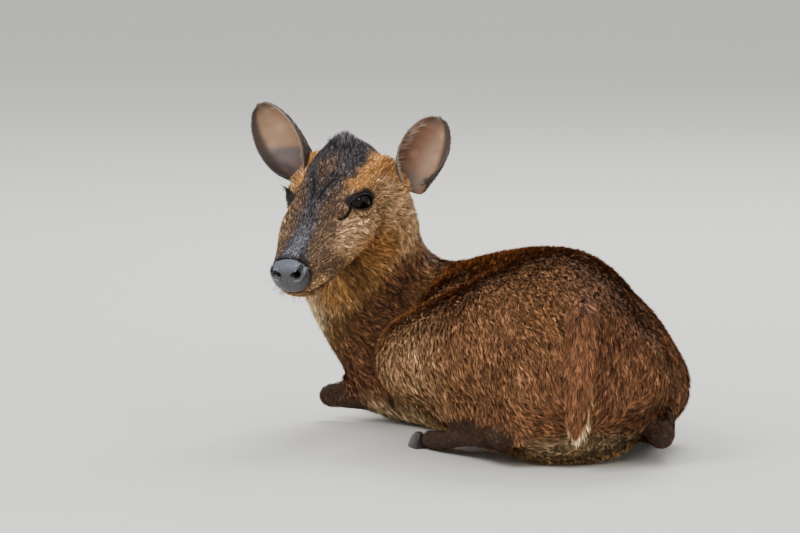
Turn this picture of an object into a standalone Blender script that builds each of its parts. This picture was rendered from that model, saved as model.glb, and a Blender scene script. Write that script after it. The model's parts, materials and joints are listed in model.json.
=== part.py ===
"""A Reeves' muntjac doe lying on the ground with her head turned back, life-size, as a still model.

Metres, +Z up, floor at z = 0. +X is to the viewer's right and +Y away from the viewer, who stands
behind the doe. Her trunk runs away from the viewer and bends to her left, and her neck comes back round.
"""

import math

import bmesh
import bpy
import numpy as np
from mathutils import Matrix, Vector

# Driving sizes
GAP = 0.0003
FLOOR = 0.0
CUT_REACH = 0.6
BED_GAP = 0.0004
CLAW_BED_GAP = 0.0006
BODY_VOXEL = 0.0090
HEAD_VOXEL = 0.0036
BODY_SMOOTHING = 9
HEAD_SMOOTHING = 3
BODY_SHARE = 0.22
HEAD_SHARE = 0.16

# Frames of the three stiff regions: origin, heading from +X, pitch down
PELVIS = ((0.023, 0.0, 0.0), 105.0, 0.0)
SHOULDERS = ((-0.095, 0.265, 0.0), 150.0, 0.0)
HEAD = ((-0.1948, 0.130, 0.2310), 239.0, 29.0)

# Trunk stations: x, y, heading, half width, top, bottom
TRUNK = (
    (0.0555, -0.1330, 106, 0.016, 0.118, 0.075),
    (0.0525, -0.1240, 106, 0.045, 0.146, 0.040),
    (0.0440, -0.0900, 105, 0.076, 0.178, 0.004),
    (0.0300, -0.0300, 104, 0.090, 0.200, -0.004),
    (0.0150, 0.0300, 105, 0.088, 0.197, -0.004),
    (-0.0030, 0.0950, 109, 0.087, 0.189, -0.004),
    (-0.0260, 0.1550, 117, 0.088, 0.179, -0.004),
    (-0.0560, 0.2070, 131, 0.080, 0.166, -0.004),
    (-0.0960, 0.2500, 147, 0.068, 0.157, -0.004),
    (-0.1340, 0.2720, 151, 0.058, 0.138, 0.004),
    (-0.1620, 0.2850, 152, 0.034, 0.105, 0.028),
)
TRUNK_WIDEST = 0.40
TRUNK_SQUARENESS = (2.1, 2.6)
TRUNK_SIDES = 28
TRUNK_ROWS = 30
ROUND_SIDES = 16

# Neck stations: nape, throat, half width
NECK = (
    ((-0.055, 0.245, 0.145), (-0.142, 0.290, 0.040), 0.062),
    ((-0.083, 0.258, 0.158), (-0.183, 0.270, 0.060), 0.060),
    ((-0.106, 0.247, 0.186), (-0.211, 0.232, 0.108), 0.053),
    ((-0.112, 0.226, 0.224), (-0.219, 0.196, 0.150), 0.050),
    ((-0.131, 0.199, 0.258), (-0.200, 0.170, 0.176), 0.045),
    ((-0.160, 0.170, 0.272), (-0.185, 0.148, 0.190), 0.038),
)
NECK_SIDES = 24
NECK_ROWS = 14
ROUND = (2.0, 2.0)

# Head stations in the head's frame: forward, top, widest height, bottom, half width, squareness above, below
SKULL = (
    (0.0985, -0.0185, -0.0280, -0.0390, 0.0130, 2.0, 2.0),
    (0.0945, -0.0118, -0.0280, -0.0480, 0.0212, 2.3, 2.2),
    (0.0850, -0.0090, -0.0290, -0.0560, 0.0245, 2.4, 2.3),
    (0.0710, -0.0065, -0.0280, -0.0595, 0.0288, 2.2, 2.3),
    (0.0560, -0.0025, -0.0230, -0.0600, 0.0348, 2.0, 2.2),
    (0.0400, 0.0040, -0.0180, -0.0600, 0.0392, 2.0, 2.1),
    (0.0250, 0.0110, -0.0140, -0.0605, 0.0412, 2.0, 2.1),
    (0.0100, 0.0178, -0.0110, -0.0615, 0.0415, 2.1, 2.1),
    (-0.0060, 0.0242, -0.0080, -0.0630, 0.0430, 2.2, 2.0),
    (-0.0210, 0.0310, -0.0080, -0.0640, 0.0415, 2.2, 2.0),
    (-0.0360, 0.0365, -0.0090, -0.0650, 0.0410, 2.0, 2.0),
    (-0.0510, 0.0370, -0.0100, -0.0620, 0.0390, 1.9, 2.0),
    (-0.0660, 0.0300, -0.0120, -0.0540, 0.0350, 1.9, 2.0),
    (-0.0780, 0.0150, -0.0120, -0.0400, 0.0260, 2.0, 2.0),
)
SKULL_SIDES = 32
SKULL_ROWS = 36

# Eyes, in the head's frame for the left side
EYE_CENTRE = (-0.0030, 0.0332, 0.0005)
EYE_RADIUS = 0.0133
EYE_LOOK = (0.42, 0.90, 0.06)
LID_THICKNESS = 0.0017
EYE_OPENING = (0.0128, 0.0096)
OPENING_REACH = (0.004, 0.024)

# Nose pad and mouth, in the head's frame
PAD_CENTRE = (0.0940, 0.0, -0.0250)
PAD_RADII = (0.0165, 0.0228, 0.0168)
NOSTRIL_CENTRE = (0.0962, 0.0122, -0.0200)
NOSTRIL_RADII = (0.0070, 0.0046, 0.0034)
NOSTRIL_TILT = 35.0
MOUTH_LINE = ((0.102, -0.0425), (0.088, -0.0462), (0.070, -0.0475), (0.052, -0.0472), (0.038, -0.0450))
MOUTH_SLIT = 0.0012
MOUTH_REACH = 0.032

# Ears, in the head's frame for the left side (1) and the right (-1), each turned its own way
EAR_BASE = {1: (-0.0440, 0.0510, -0.0050), -1: (-0.0486, 0.0523, -0.0021)}
EAR_AXIS = {1: (-0.353, 0.700, 0.620), -1: (-0.131, 0.550, 0.825)}
EAR_FACING = {1: (0.98, 0.12, 0.0), -1: (0.963, -0.088, 0.254)}
EAR_LENGTH = 0.0790
EAR_WALL = 0.0020
EAR_ROOT_RADIUS = 0.0175
EAR_ROOT_DEPTH = 0.030
EAR_SEAT = 0.004
EAR_SEAT_RADIUS = 0.032
EAR_SEAT_REACH = 0.030
EAR_LEAN = 0.75
EAR_LEAST_CURL = 0.0012
EAR_ROWS = 11
EAR_COLUMNS = 9
# Stations along the ear: share of its length, radius of its curl, half angle of its curl
EAR_CURL = (
    (0.00, 0.0145, 150.0),
    (0.14, 0.0185, 122.0),
    (0.30, 0.0228, 98.0),
    (0.48, 0.0252, 84.0),
    (0.66, 0.0248, 74.0),
    (0.82, 0.0205, 68.0),
    (0.93, 0.0138, 64.0),
    (1.00, 0.0050, 62.0),
)

# Legs: joints in the pelvis frame (forward, outward, height) and their radii
HIND_LEFT = {
    "hip": ((-0.030, 0.048, 0.112), 0.074),
    "stifle": ((0.080, 0.114, 0.086), 0.047),
    "shank": ((0.070, 0.100, 0.066), 0.030),
    "hock": ((-0.088, 0.074, 0.030), 0.0145),
    "fetlock": ((0.040, 0.100, 0.0125), 0.0110),
    "toe": ((0.072, 0.106, 0.0085), 0.0095),
}
HIND_RIGHT = {
    "hip": ((-0.030, 0.036, 0.096), 0.070),
    "stifle": ((0.062, 0.116, 0.053), 0.043),
    "shank": ((0.054, 0.110, 0.044), 0.028),
    "hock": ((-0.095, 0.078, 0.027), 0.0145),
    "fetlock": ((0.032, 0.112, 0.0125), 0.0110),
    "toe": ((0.063, 0.120, 0.0085), 0.0095),
}
BUTTOCK = ((-0.090, 0.045, 0.088), 0.048)
FLANK = ((-0.040, 0.120, 0.086), 0.084)
FOLD = ((0.150, 0.062, 0.085), 0.046)
METATARSUS_RADIUS = 0.0092
FORELEG = {
    "blade": ((-0.035, 0.040, 0.125), 0.036),
    "point": ((0.045, 0.050, 0.078), 0.034),
    "elbow": ((-0.020, 0.062, 0.045), 0.028),
    "forearm": ((0.000, 0.058, 0.042), 0.021),
    "knee": ((0.088, 0.048, 0.024), 0.0125),
    "fetlock": ((0.010, 0.040, 0.0115), 0.0098),
    "toe": ((-0.018, 0.037, 0.0085), 0.0088),
}
METACARPUS_RADIUS = 0.0082
LEG_SIDES = 9
TUBE_CAP = ((0.45, 0.86), (0.72, 0.52))
SHANK_SIDES = 11

# Claws: length, half width, height, gap between the two of a foot
CLAW_LENGTH = 0.030
CLAW_HALF_WIDTH = 0.0058
CLAW_HEIGHT = 0.0165
CLAW_SPREAD = 0.0066
CLAW_HOOK = 0.35
CLAW_SLANT = 0.25
# Claw stations: share of its length, shares of its width and height
CLAW_TAPER = ((0.0, 0.85, 0.95), (0.25, 1.0, 1.0), (0.65, 0.85, 0.66), (1.0, 0.25, 0.18))
CLAW_SECTION = ((1, 0), (1, 0.55), (0.6, 1), (-0.6, 1), (-1, 0.55), (-1, 0))

# Tail: points along it, half width, half thickness
TAIL = (
    ((0.046, -0.102, 0.158), 0.0125, 0.0110),
    ((0.046, -0.130, 0.143), 0.0140, 0.0100),
    ((0.045, -0.143, 0.112), 0.0150, 0.0088),
    ((0.043, -0.147, 0.078), 0.0145, 0.0075),
    ((0.041, -0.147, 0.050), 0.0110, 0.0060),
    ((0.040, -0.146, 0.034), 0.0040, 0.0030),
)
TAIL_SIDES = 12
TAIL_ROWS = 14

# Cuts between the parts: a point on each, and the way it faces
HEAD_CUT = ((-0.0580, 0.0, -0.0445), (0.79, 0.0, 0.61))
NECK_CUT = ((-0.132, 0.262, 0.112), (-0.67, 0.39, 0.63))
CHEST_CUT = ((-0.040, 0.172, 0.0), (-0.60, 0.80, 0.0))
RUMP_CUT = ((0.006, 0.064, 0.0), (-0.27, 0.96, 0.0))
THIGH_CUT_LEFT = ((0.0, 0.062), (0.145, 0.20))
THIGH_CUT_RIGHT = ((0.0, -0.062), (0.145, -0.20))
THIGH_CUT_BACK = -0.20
THIGH_CUT_HEIGHTS = (-0.05, 0.30)

# Finishes: colour, roughness
FINISHES = {
    "coat": ((0.115, 0.052, 0.026), 0.85),
    "face": ((0.105, 0.062, 0.034), 0.80),
    "ear": ((0.130, 0.080, 0.058), 0.80),
    "eye": ((0.006, 0.004, 0.004), 0.05),
    "nose": ((0.020, 0.021, 0.024), 0.35),
    "hoof": ((0.018, 0.015, 0.013), 0.45),
}


def clear_scene():
    """Remove every object of the opened file."""
    for obj in list(bpy.data.objects):
        bpy.data.objects.remove(obj, do_unlink=True)


def finish(name):
    """Return the named finish as a material, made once."""
    if name in bpy.data.materials:
        return bpy.data.materials[name]
    colour, roughness = FINISHES[name]
    material = bpy.data.materials.new(name)
    material.use_nodes = True
    shader = material.node_tree.nodes["Principled BSDF"]
    shader.inputs["Base Color"].default_value = (*colour, 1.0)
    shader.inputs["Roughness"].default_value = roughness
    shader.inputs["Metallic"].default_value = 0.0
    return material


def frame(region):
    """Return the matrix of a stiff region: X forward, Y to the doe's left, Z up."""
    origin, heading, pitch = region
    turn = Matrix.Rotation(math.radians(heading), 4, "Z")
    nod = Matrix.Rotation(math.radians(pitch), 4, "Y")
    return Matrix.Translation(origin) @ turn @ nod


def placed(region, point, side=1):
    """Return a world point from one in a region's frame, mirrored for side -1."""
    forward, outward, up = point
    return frame(region) @ Vector((forward, side * outward, up))


def turned(region, direction, side=1):
    """Return a world direction from one in a region's frame, mirrored for side -1."""
    forward, outward, up = direction
    return (frame(region).to_3x3() @ Vector((forward, side * outward, up))).normalized()


def new_object(name, bm):
    """Turn a bmesh into an object of the scene."""
    mesh = bpy.data.meshes.new(name)
    bmesh.ops.recalc_face_normals(bm, faces=bm.faces)
    bm.to_mesh(mesh)
    bm.free()
    obj = bpy.data.objects.new(name, mesh)
    bpy.context.scene.collection.objects.link(obj)
    return obj


def resampled(table, count):
    """Return count rows along a smooth curve through a table's rows (Catmull-Rom)."""
    rows = np.array(table, dtype=float)
    rows = np.vstack([2 * rows[0] - rows[1], rows, 2 * rows[-1] - rows[-2]])
    spans = len(rows) - 3
    out = []
    for place in np.linspace(0.0, spans, count):
        i = min(int(place), spans - 1)
        t = place - i
        a, b, c, d = rows[i : i + 4]
        square = (2 * a - 5 * b + 4 * c - d) * t**2
        cube = (3 * b - a - 3 * c + d) * t**3
        out.append(0.5 * (2 * b + (c - a) * t + square + cube))
    return np.array(out)


def loft(name, rings):
    """Join rings of points into one closed skin with a fan at each end."""
    bm = bmesh.new()
    rows = [[bm.verts.new(p) for p in ring] for ring in rings]
    sides = len(rows[0])
    for low, high in zip(rows, rows[1:]):
        for i in range(sides):
            j = (i + 1) % sides
            bm.faces.new((low[i], low[j], high[j], high[i]))
    for row in (rows[0], rows[-1]):
        centre = bm.verts.new(sum((v.co for v in row), Vector()) / sides)
        for i in range(sides):
            bm.faces.new((row[i], row[(i + 1) % sides], centre))
    return new_object(name, bm)


def egg_ring(centre, side, up, half_width, heights, squareness, sides):
    """Return a closed ring: half superellipses above and below its widest height."""
    top, widest, bottom = heights
    above, below = squareness
    ring = []
    for i in range(sides):
        angle = 2 * math.pi * i / sides
        c, s = math.cos(angle), math.sin(angle)
        power = 2.0 / (above if s >= 0 else below)
        reach = (top - widest) if s >= 0 else (widest - bottom)
        across = half_width * math.copysign(abs(c) ** power, c)
        rise = widest + reach * math.copysign(abs(s) ** power, s)
        ring.append(Vector(centre) + Vector(side) * across + Vector(up) * rise)
    return ring


def trunk():
    """The trunk, from the rump to the breast, standing on its flattened belly."""
    rings = []
    for x, y, heading, half_width, top, bottom in resampled(TRUNK, TRUNK_ROWS):
        across = Vector((-math.sin(math.radians(heading)), math.cos(math.radians(heading)), 0.0))
        widest = bottom + (top - bottom) * TRUNK_WIDEST
        heights = (top, widest, bottom)
        centre = (x, y, 0)
        rings.append(egg_ring(centre, across, (0, 0, 1), half_width, heights, TRUNK_SQUARENESS, TRUNK_SIDES))
    return loft("trunk_form", rings)


def neck():
    """The neck, deep from nape to throat, bending back and up to the skull."""
    rows = resampled([(*nape, *throat, half) for nape, throat, half in NECK], NECK_ROWS)
    middles = (rows[:, :3] + rows[:, 3:6]) / 2
    rings = []
    for i, row in enumerate(rows):
        along = Vector(middles[min(i + 1, len(rows) - 1)] - middles[max(i - 1, 0)]).normalized()
        depth = Vector(row[:3] - row[3:6])
        across = along.cross(depth).normalized()
        half = depth.length / 2
        heights = (half, 0, -half)
        rings.append(egg_ring(middles[i], across, depth.normalized(), row[6], heights, ROUND, NECK_SIDES))
    return loft("neck_form", rings)


def skull():
    """The head's whole form, from the nose to behind the ears, without its openings."""
    matrix = frame(HEAD)
    side = turned(HEAD, (0, 1, 0))
    up = turned(HEAD, (0, 0, 1))
    rings = []
    for forward, top, widest, bottom, half, above, below in resampled(SKULL, SKULL_ROWS):
        centre = matrix @ Vector((forward, 0, 0))
        rings.append(egg_ring(centre, side, up, half, (top, widest, bottom), (above, below), SKULL_SIDES))
    return loft("skull_form", rings)


def ellipsoid(name, centre, axes, radii, segments=24, rings=14):
    """An ellipsoid with its own three axes and radii."""
    bm = bmesh.new()
    basis = Matrix([Vector(a) * r for a, r in zip(axes, radii)]).transposed().to_4x4()
    matrix = Matrix.Translation(centre) @ basis
    bmesh.ops.create_uvsphere(bm, u_segments=segments, v_segments=rings, radius=1.0, matrix=matrix)
    return new_object(name, bm)


def ball(name, centre, radius, segments=24, rings=14):
    """A sphere."""
    return ellipsoid(name, centre, ((1, 0, 0), (0, 1, 0), (0, 0, 1)), (radius,) * 3, segments, rings)


def tube(name, stations, sides, swell=0.0):
    """A round tapered limb through (point, radius) stations, its radii made larger by swell."""
    rows = resampled([(*point, radius) for point, radius in stations], 3 * len(stations) - 2)
    points = [Vector(row[:3]) for row in rows]
    first = (points[1] - points[0]).normalized()
    last = (points[-1] - points[-2]).normalized()
    rings = []
    previous = Vector((0, 0, 1))
    for i, point in enumerate(points):
        along = (points[min(i + 1, len(points) - 1)] - points[max(i - 1, 0)]).normalized()
        side = along.cross(previous).normalized()
        up = side.cross(along)
        previous = up
        radius = rows[i][3] + swell
        rings.append(egg_ring(point, side, up, radius, (radius, 0, -radius), ROUND, sides))
    for ring, along, inner in ((rings[0], -first, 0), (rings[-1], last, -1)):
        radius = rows[inner][3] + swell
        middle = points[inner]
        for reach, share in TUBE_CAP:
            cap = [middle + along * radius * reach + (p - middle) * share for p in ring]
            if inner == 0:
                rings.insert(0, cap)
            else:
                rings.append(cap)
    return loft(name, rings)


def evaluated(obj, name):
    """Return a new object with the evaluated mesh of another, which is removed."""
    depsgraph = bpy.context.evaluated_depsgraph_get()
    mesh = bpy.data.meshes.new_from_object(obj.evaluated_get(depsgraph))
    bpy.data.objects.remove(obj, do_unlink=True)
    result = bpy.data.objects.new(name, mesh)
    bpy.context.scene.collection.objects.link(result)
    return result


def joined(name, objects):
    """Put the meshes of several objects into one object, and remove them."""
    bm = bmesh.new()
    for obj in objects:
        bm.from_mesh(obj.data)
        bpy.data.objects.remove(obj, do_unlink=True)
    return new_object(name, bm)


def grown_together(name, objects, voxel, smoothing, share):
    """Fuse overlapping forms into one even skin, soften it and keep a share of its faces."""
    obj = joined(name + "_forms", objects)
    remesh = obj.modifiers.new("fuse", "REMESH")
    remesh.mode = "VOXEL"
    remesh.voxel_size = voxel
    soften = obj.modifiers.new("soften", "SMOOTH")
    soften.factor = 0.5
    soften.iterations = smoothing
    thin = obj.modifiers.new("thin", "DECIMATE")
    thin.ratio = share
    return keep_largest(evaluated(obj, name))


def keep_largest(obj):
    """Drop all but the largest closed surface of an object."""
    bm = bmesh.new()
    bm.from_mesh(obj.data)
    bm.faces.ensure_lookup_table()
    left = set(bm.faces)
    groups = []
    while left:
        seed = left.pop()
        group = {seed}
        stack = [seed]
        while stack:
            face = stack.pop()
            for edge in face.edges:
                for other in edge.link_faces:
                    if other in left:
                        left.discard(other)
                        group.add(other)
                        stack.append(other)
        groups.append(group)
    groups.sort(key=lambda g: sum(f.calc_area() for f in g))
    scraps = [face for group in groups[:-1] for face in group]
    if scraps:
        bmesh.ops.delete(bm, geom=scraps, context="FACES")
        loose = [v for v in bm.verts if not v.link_faces]
        bmesh.ops.delete(bm, geom=loose, context="VERTS")
    bm.to_mesh(obj.data)
    bm.free()
    return obj


def boolean(obj, tools, operation):
    """Cut, join or intersect an object with a list of others, which are removed."""
    group = bpy.data.collections.new("tools")
    for tool in tools:
        group.objects.link(tool)
        tool.hide_render = True
        tool.display_type = "WIRE"
    modifier = obj.modifiers.new("shape", "BOOLEAN")
    modifier.operation = operation
    modifier.solver = "EXACT"
    modifier.operand_type = "COLLECTION"
    modifier.collection = group
    result = evaluated(obj, obj.name + "_cut")
    for tool in tools:
        bpy.data.objects.remove(tool, do_unlink=True)
    bpy.data.collections.remove(group)
    return keep_largest(result)


def duplicate(obj, name):
    """Copy an object with its own mesh."""
    copy = bpy.data.objects.new(name, obj.data.copy())
    bpy.context.scene.collection.objects.link(copy)
    return copy


def trimmed(obj, point, normal, offset=0.0):
    """Keep the side of a plane that its normal faces."""
    normal = Vector(normal).normalized()
    turn = normal.to_track_quat("Z", "Y").to_matrix().to_4x4()
    centre = Vector(point) + normal * (offset + CUT_REACH)
    bm = bmesh.new()
    matrix = Matrix.Translation(centre) @ turn
    bmesh.ops.create_cube(bm, size=2 * CUT_REACH, matrix=matrix)
    return boolean(obj, [new_object("half_space", bm)], "INTERSECT")


def split(obj, name, point, normal):
    """Part an object with a thin cut: return the side that the normal faces, and the rest."""
    near = trimmed(duplicate(obj, name), point, normal, GAP / 2)
    return near, trimmed(obj, point, -Vector(normal), GAP / 2)


def ear(side):
    """The cup of an ear: a curled wall that opens forward and ends in a rounded tip."""
    base = placed(HEAD, EAR_BASE[side], side)
    axis = turned(HEAD, EAR_AXIS[side], side)
    facing = turned(HEAD, EAR_FACING[side], side)
    facing = (facing - axis * facing.dot(axis)).normalized()
    across = axis.cross(facing)
    rows = resampled(EAR_CURL, EAR_ROWS)
    wall = []
    for skin in (0.0, EAR_WALL):
        grid = []
        for share, radius, half_angle in rows:
            ring = []
            for i in range(EAR_COLUMNS):
                angle = math.radians(half_angle) * (2 * i / (EAR_COLUMNS - 1) - 1)
                reach = max(radius - skin, EAR_LEAST_CURL)
                lean = facing * (radius - EAR_CURL[0][1]) * EAR_LEAN
                place = base + axis * EAR_LENGTH * share + lean
                ring.append(place + across * reach * math.sin(angle) - facing * reach * math.cos(angle))
            grid.append(ring)
        wall.append(grid)
    return curled_wall("ear", wall[0], wall[1])


def curled_wall(name, outer, inner):
    """Close an outer and an inner grid of points into one wall."""
    bm = bmesh.new()
    skins = [[[bm.verts.new(p) for p in ring] for ring in grid] for grid in (outer, inner)]
    count = len(outer)
    columns = len(outer[0])
    for grid in skins:
        for low, high in zip(grid, grid[1:]):
            for i in range(columns - 1):
                corners = (low[i], low[i + 1], high[i + 1], high[i])
                bm.faces.new(corners[:3])
                bm.faces.new((corners[0], corners[2], corners[3]))
    rim = [(k, 0) for k in range(count)] + [(count - 1, i) for i in range(1, columns)]
    rim += [(k, columns - 1) for k in range(count - 2, -1, -1)] + [(0, i) for i in range(columns - 2, 0, -1)]
    for (k, i), (m, j) in zip(rim, rim[1:] + rim[:1]):
        bm.faces.new((skins[0][k][i], skins[0][m][j], skins[1][m][j]))
        bm.faces.new((skins[0][k][i], skins[1][m][j], skins[1][k][i]))
    return new_object(name, bm)


def ear_root(side):
    """The fleshy root that an ear stands on."""
    base = placed(HEAD, EAR_BASE[side], side)
    axis = turned(HEAD, EAR_AXIS[side], side)
    inner = base - axis * EAR_ROOT_DEPTH
    outer = base + axis * EAR_SEAT
    return tube("ear_root", [(inner, EAR_ROOT_RADIUS), (outer, EAR_ROOT_RADIUS)], ROUND_SIDES)


def eye_axes(side):
    """The eye's own axes: where it looks, along its opening, and up."""
    look = turned(HEAD, EYE_LOOK, side)
    up = turned(HEAD, (0, 0, 1))
    along = up.cross(look).normalized()
    return look, along, look.cross(along)


def eyeball(name, side, swell=0.0):
    """The ball of an eye."""
    look, along, up = eye_axes(side)
    radius = EYE_RADIUS + swell
    return ellipsoid(name, placed(HEAD, EYE_CENTRE, side), (along, up, look), (radius,) * 3, 16, 10)


def lids(side):
    """The ball of skin round an eye that its lids are cut from."""
    look, along, up = eye_axes(side)
    radius = EYE_RADIUS + LID_THICKNESS
    return ellipsoid("lids", placed(HEAD, EYE_CENTRE, side), (along, up, look), (radius,) * 3, 20, 12)


def lid_opening(side):
    """The almond between the lids, as a long cutter along the look."""
    look, along, up = eye_axes(side)
    centre = placed(HEAD, EYE_CENTRE, side)
    rings = []
    for reach in OPENING_REACH:
        ring = []
        for i in range(16):
            angle = 2 * math.pi * i / 16
            c, s = math.cos(angle), math.sin(angle)
            point = along * EYE_OPENING[0] * c + up * EYE_OPENING[1] * math.copysign(abs(s) ** 1.2, s)
            ring.append(centre + look * reach + point)
        rings.append(ring)
    return loft("lid_opening", rings)


def nose_pad_form(swell=0.0):
    """The bare moist pad on the end of the muzzle."""
    axes = [turned(HEAD, a) for a in ((1, 0, 0), (0, 1, 0), (0, 0, 1))]
    radii = [r + swell for r in PAD_RADII]
    return ellipsoid("pad", placed(HEAD, PAD_CENTRE), axes, radii, 20, 12)


def nostril(side):
    """A nostril, a slanting oval pit in the pad."""
    tilt = math.radians(NOSTRIL_TILT)
    axes = (
        turned(HEAD, (1, 0.35, 0), side),
        turned(HEAD, (-0.35, math.cos(tilt), math.sin(tilt)), side),
        turned(HEAD, (0, -math.sin(tilt), math.cos(tilt)), side),
    )
    return ellipsoid("nostril", placed(HEAD, NOSTRIL_CENTRE, side), axes, NOSTRIL_RADII, 12, 8)


def mouth_slit():
    """A thin curved slot that parts the lips, back to the corner of the mouth."""
    half = MOUTH_SLIT / 2
    line = resampled(MOUTH_LINE, 9)
    outline = [(f, u + half) for f, u in line] + [(f, u - half) for f, u in reversed(line)]
    bm = bmesh.new()
    sides = []
    for outward in (-MOUTH_REACH, MOUTH_REACH):
        sides.append([bm.verts.new(placed(HEAD, (f, outward, u))) for f, u in outline])
    count = len(outline)
    for i in range(count):
        j = (i + 1) % count
        bm.faces.new((sides[0][i], sides[0][j], sides[1][j], sides[1][i]))
    for row in sides:
        for i in range(len(line) - 1):
            bm.faces.new((row[i], row[i + 1], row[count - 2 - i], row[count - 1 - i]))
    return new_object("mouth_slit", bm)


def block(name, corners, low, high):
    """A prism over a plan outline, between two heights."""
    bm = bmesh.new()
    floor = [bm.verts.new((x, y, low)) for x, y in corners]
    roof = [bm.verts.new((x, y, high)) for x, y in corners]
    bm.faces.new(floor)
    bm.faces.new(roof)
    for i in range(len(corners)):
        j = (i + 1) % len(corners)
        bm.faces.new((floor[i], floor[j], roof[j], roof[i]))
    return new_object(name, bm)


def thigh_block(cut, swell):
    """The block over a plan rectangle that parts a thigh from the rump."""
    (back, inner), (front, outer) = cut
    back += THIGH_CUT_BACK
    side = math.copysign(1, outer)
    inner -= side * swell
    front += swell
    corners = [(back, inner), (front, inner), (front, outer), (back, outer)]
    plan = [placed(PELVIS, (f, o, 0)) for f, o in corners]
    return block("thigh_block", [(p.x, p.y) for p in plan], *THIGH_CUT_HEIGHTS)


def leg_points(region, joints, side):
    """World stations of a leg's joints, by name."""
    return {name: (placed(region, point, side), radius) for name, (point, radius) in joints.items()}


def claw(name, foot, toe, across, side, swell=0.0):
    """One claw of a cloven foot: a wedge with a flat sole on the floor, made larger by swell."""
    forward = Vector((toe.x - foot.x, toe.y - foot.y, 0)).normalized()
    start = Vector((toe.x, toe.y, 0)) + across * side * CLAW_SPREAD
    rings = []
    for share, width, height in CLAW_TAPER:
        ring = []
        for c, s in CLAW_SECTION:
            sideways = c * width * (1.0 - CLAW_SLANT * s) - CLAW_HOOK * share * side
            offset = across * (CLAW_HALF_WIDTH * sideways + math.copysign(swell, c))
            rise = CLAW_HEIGHT * height * s + (swell if s else -swell)
            reach = CLAW_LENGTH * share + swell * math.copysign(1, share - 0.5)
            ring.append(start + forward * reach + offset + Vector((0, 0, rise)))
        rings.append(ring)
    return loft(name, rings)


def tail_form(name, swell=0.0):
    """The hanging tail, broad and flat, ending in a soft point."""
    rows = resampled([(*point, wide, thick) for point, wide, thick in TAIL], TAIL_ROWS)
    points = [Vector(row[:3]) for row in rows]
    across = turned(PELVIS, (0, 1, 0))
    rings = []
    for i, row in enumerate(rows):
        along = (points[min(i + 1, TAIL_ROWS - 1)] - points[max(i - 1, 0)]).normalized()
        out = along.cross(across).normalized()
        thick = row[4] + swell
        rings.append(egg_ring(points[i], across, out, row[3] + swell, (thick, 0, -thick), ROUND, TAIL_SIDES))
    return loft(name, rings)


def body_forms():
    """All the overlapping forms that make the doe's body and neck."""
    forms = [trunk(), neck(), skull(), ball("flank_form", *FLANK)]
    for side, joints in ((1, HIND_LEFT), (-1, HIND_RIGHT)):
        hind = leg_points(PELVIS, joints, side)
        forms.append(tube("thigh_form", [hind["hip"], hind["stifle"]], 20))
        fold, radius = FOLD
        knee = (hind["stifle"][0], hind["stifle"][1] * 0.85)
        forms.append(tube("fold_form", [knee, (placed(PELVIS, fold, side), radius)], 16))
        buttock, radius = BUTTOCK
        forms.append(ball("buttock_form", placed(PELVIS, buttock, side), radius))
        fore = leg_points(SHOULDERS, FORELEG, side)
        forms.append(tube("shoulder_form", [fore["blade"], fore["point"]], 16))
        forms.append(tube("arm_form", [fore["point"], fore["elbow"]], 16))
    return forms


def above_floor(obj):
    """Cut a flat at floor level."""
    return trimmed(obj, (0, 0, FLOOR), (0, 0, 1))


def named(obj, name, look):
    """Give a finished part its name, finish and smooth shading."""
    obj.name = name
    obj.data.name = name
    obj.data.materials.clear()
    obj.data.materials.append(finish(look))
    obj.data.shade_smooth()
    return obj


def build_head(neck_side):
    """The head with its lids, mouth, pad, eyes and ears."""
    forms = [neck(), skull()] + [ear_root(side) for side in (1, -1)]
    head = grown_together("head", forms, HEAD_VOXEL, HEAD_SMOOTHING, HEAD_SHARE)
    cut_point = placed(HEAD, HEAD_CUT[0])
    cut_normal = turned(HEAD, HEAD_CUT[1])
    head = trimmed(head, cut_point, cut_normal, GAP / 2)
    neck_side = trimmed(neck_side, cut_point, -cut_normal, GAP / 2)
    head = boolean(head, [lids(side) for side in (1, -1)], "UNION")
    pad = boolean(duplicate(head, "pad"), [nose_pad_form()], "INTERSECT")
    pad = boolean(pad, [nostril(side) for side in (1, -1)], "DIFFERENCE")
    cutters = [eyeball("socket", side, GAP) for side in (1, -1)]
    cutters += [lid_opening(side) for side in (1, -1)]
    cutters += [nose_pad_form(GAP), mouth_slit()]
    head = boolean(head, cutters, "DIFFERENCE")
    for side, word in ((1, "left"), (-1, "right")):
        base = placed(HEAD, EAR_BASE[side], side)
        axis = turned(HEAD, EAR_AXIS[side], side)
        named(trimmed(ear(side), base, axis, EAR_SEAT + GAP / 2), "ear_" + word, "ear")
        ends = [(base + axis * reach, EAR_SEAT_RADIUS) for reach in (EAR_SEAT, EAR_SEAT_REACH)]
        slab = trimmed(tube("slab", ends, ROUND_SIDES), base, axis, EAR_SEAT - GAP / 2)
        head = boolean(head, [slab], "DIFFERENCE")
        named(eyeball("eye", side), "eye_" + word, "eye")
    named(head, "head", "face")
    named(pad, "nose_pad", "nose")
    named(neck_side, "neck", "coat")


def build_legs(flesh):
    """The lower legs and claws, and the flesh with their beds cut out."""
    beds = []
    for side, word, joints in ((1, "left", HIND_LEFT), (-1, "right", HIND_RIGHT)):
        points = leg_points(PELVIS, joints, side)
        shank = [points["shank"], points["hock"]]
        foot = [points["hock"], (mid(points["hock"], points["fetlock"]), METATARSUS_RADIUS)]
        foot += [points["fetlock"], points["toe"]]
        beds += lower_leg("hind", word, side, shank, foot)
        points = leg_points(SHOULDERS, FORELEG, side)
        forearm = [points["forearm"], points["knee"]]
        foot = [points["knee"], (mid(points["knee"], points["fetlock"]), METACARPUS_RADIUS)]
        foot += [points["fetlock"], points["toe"]]
        beds += lower_leg("fore", word, side, forearm, foot)
    return boolean(flesh, beds, "DIFFERENCE")


def mid(one, other):
    """The point half way between two leg stations."""
    return (one[0] + other[0]) / 2


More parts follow.
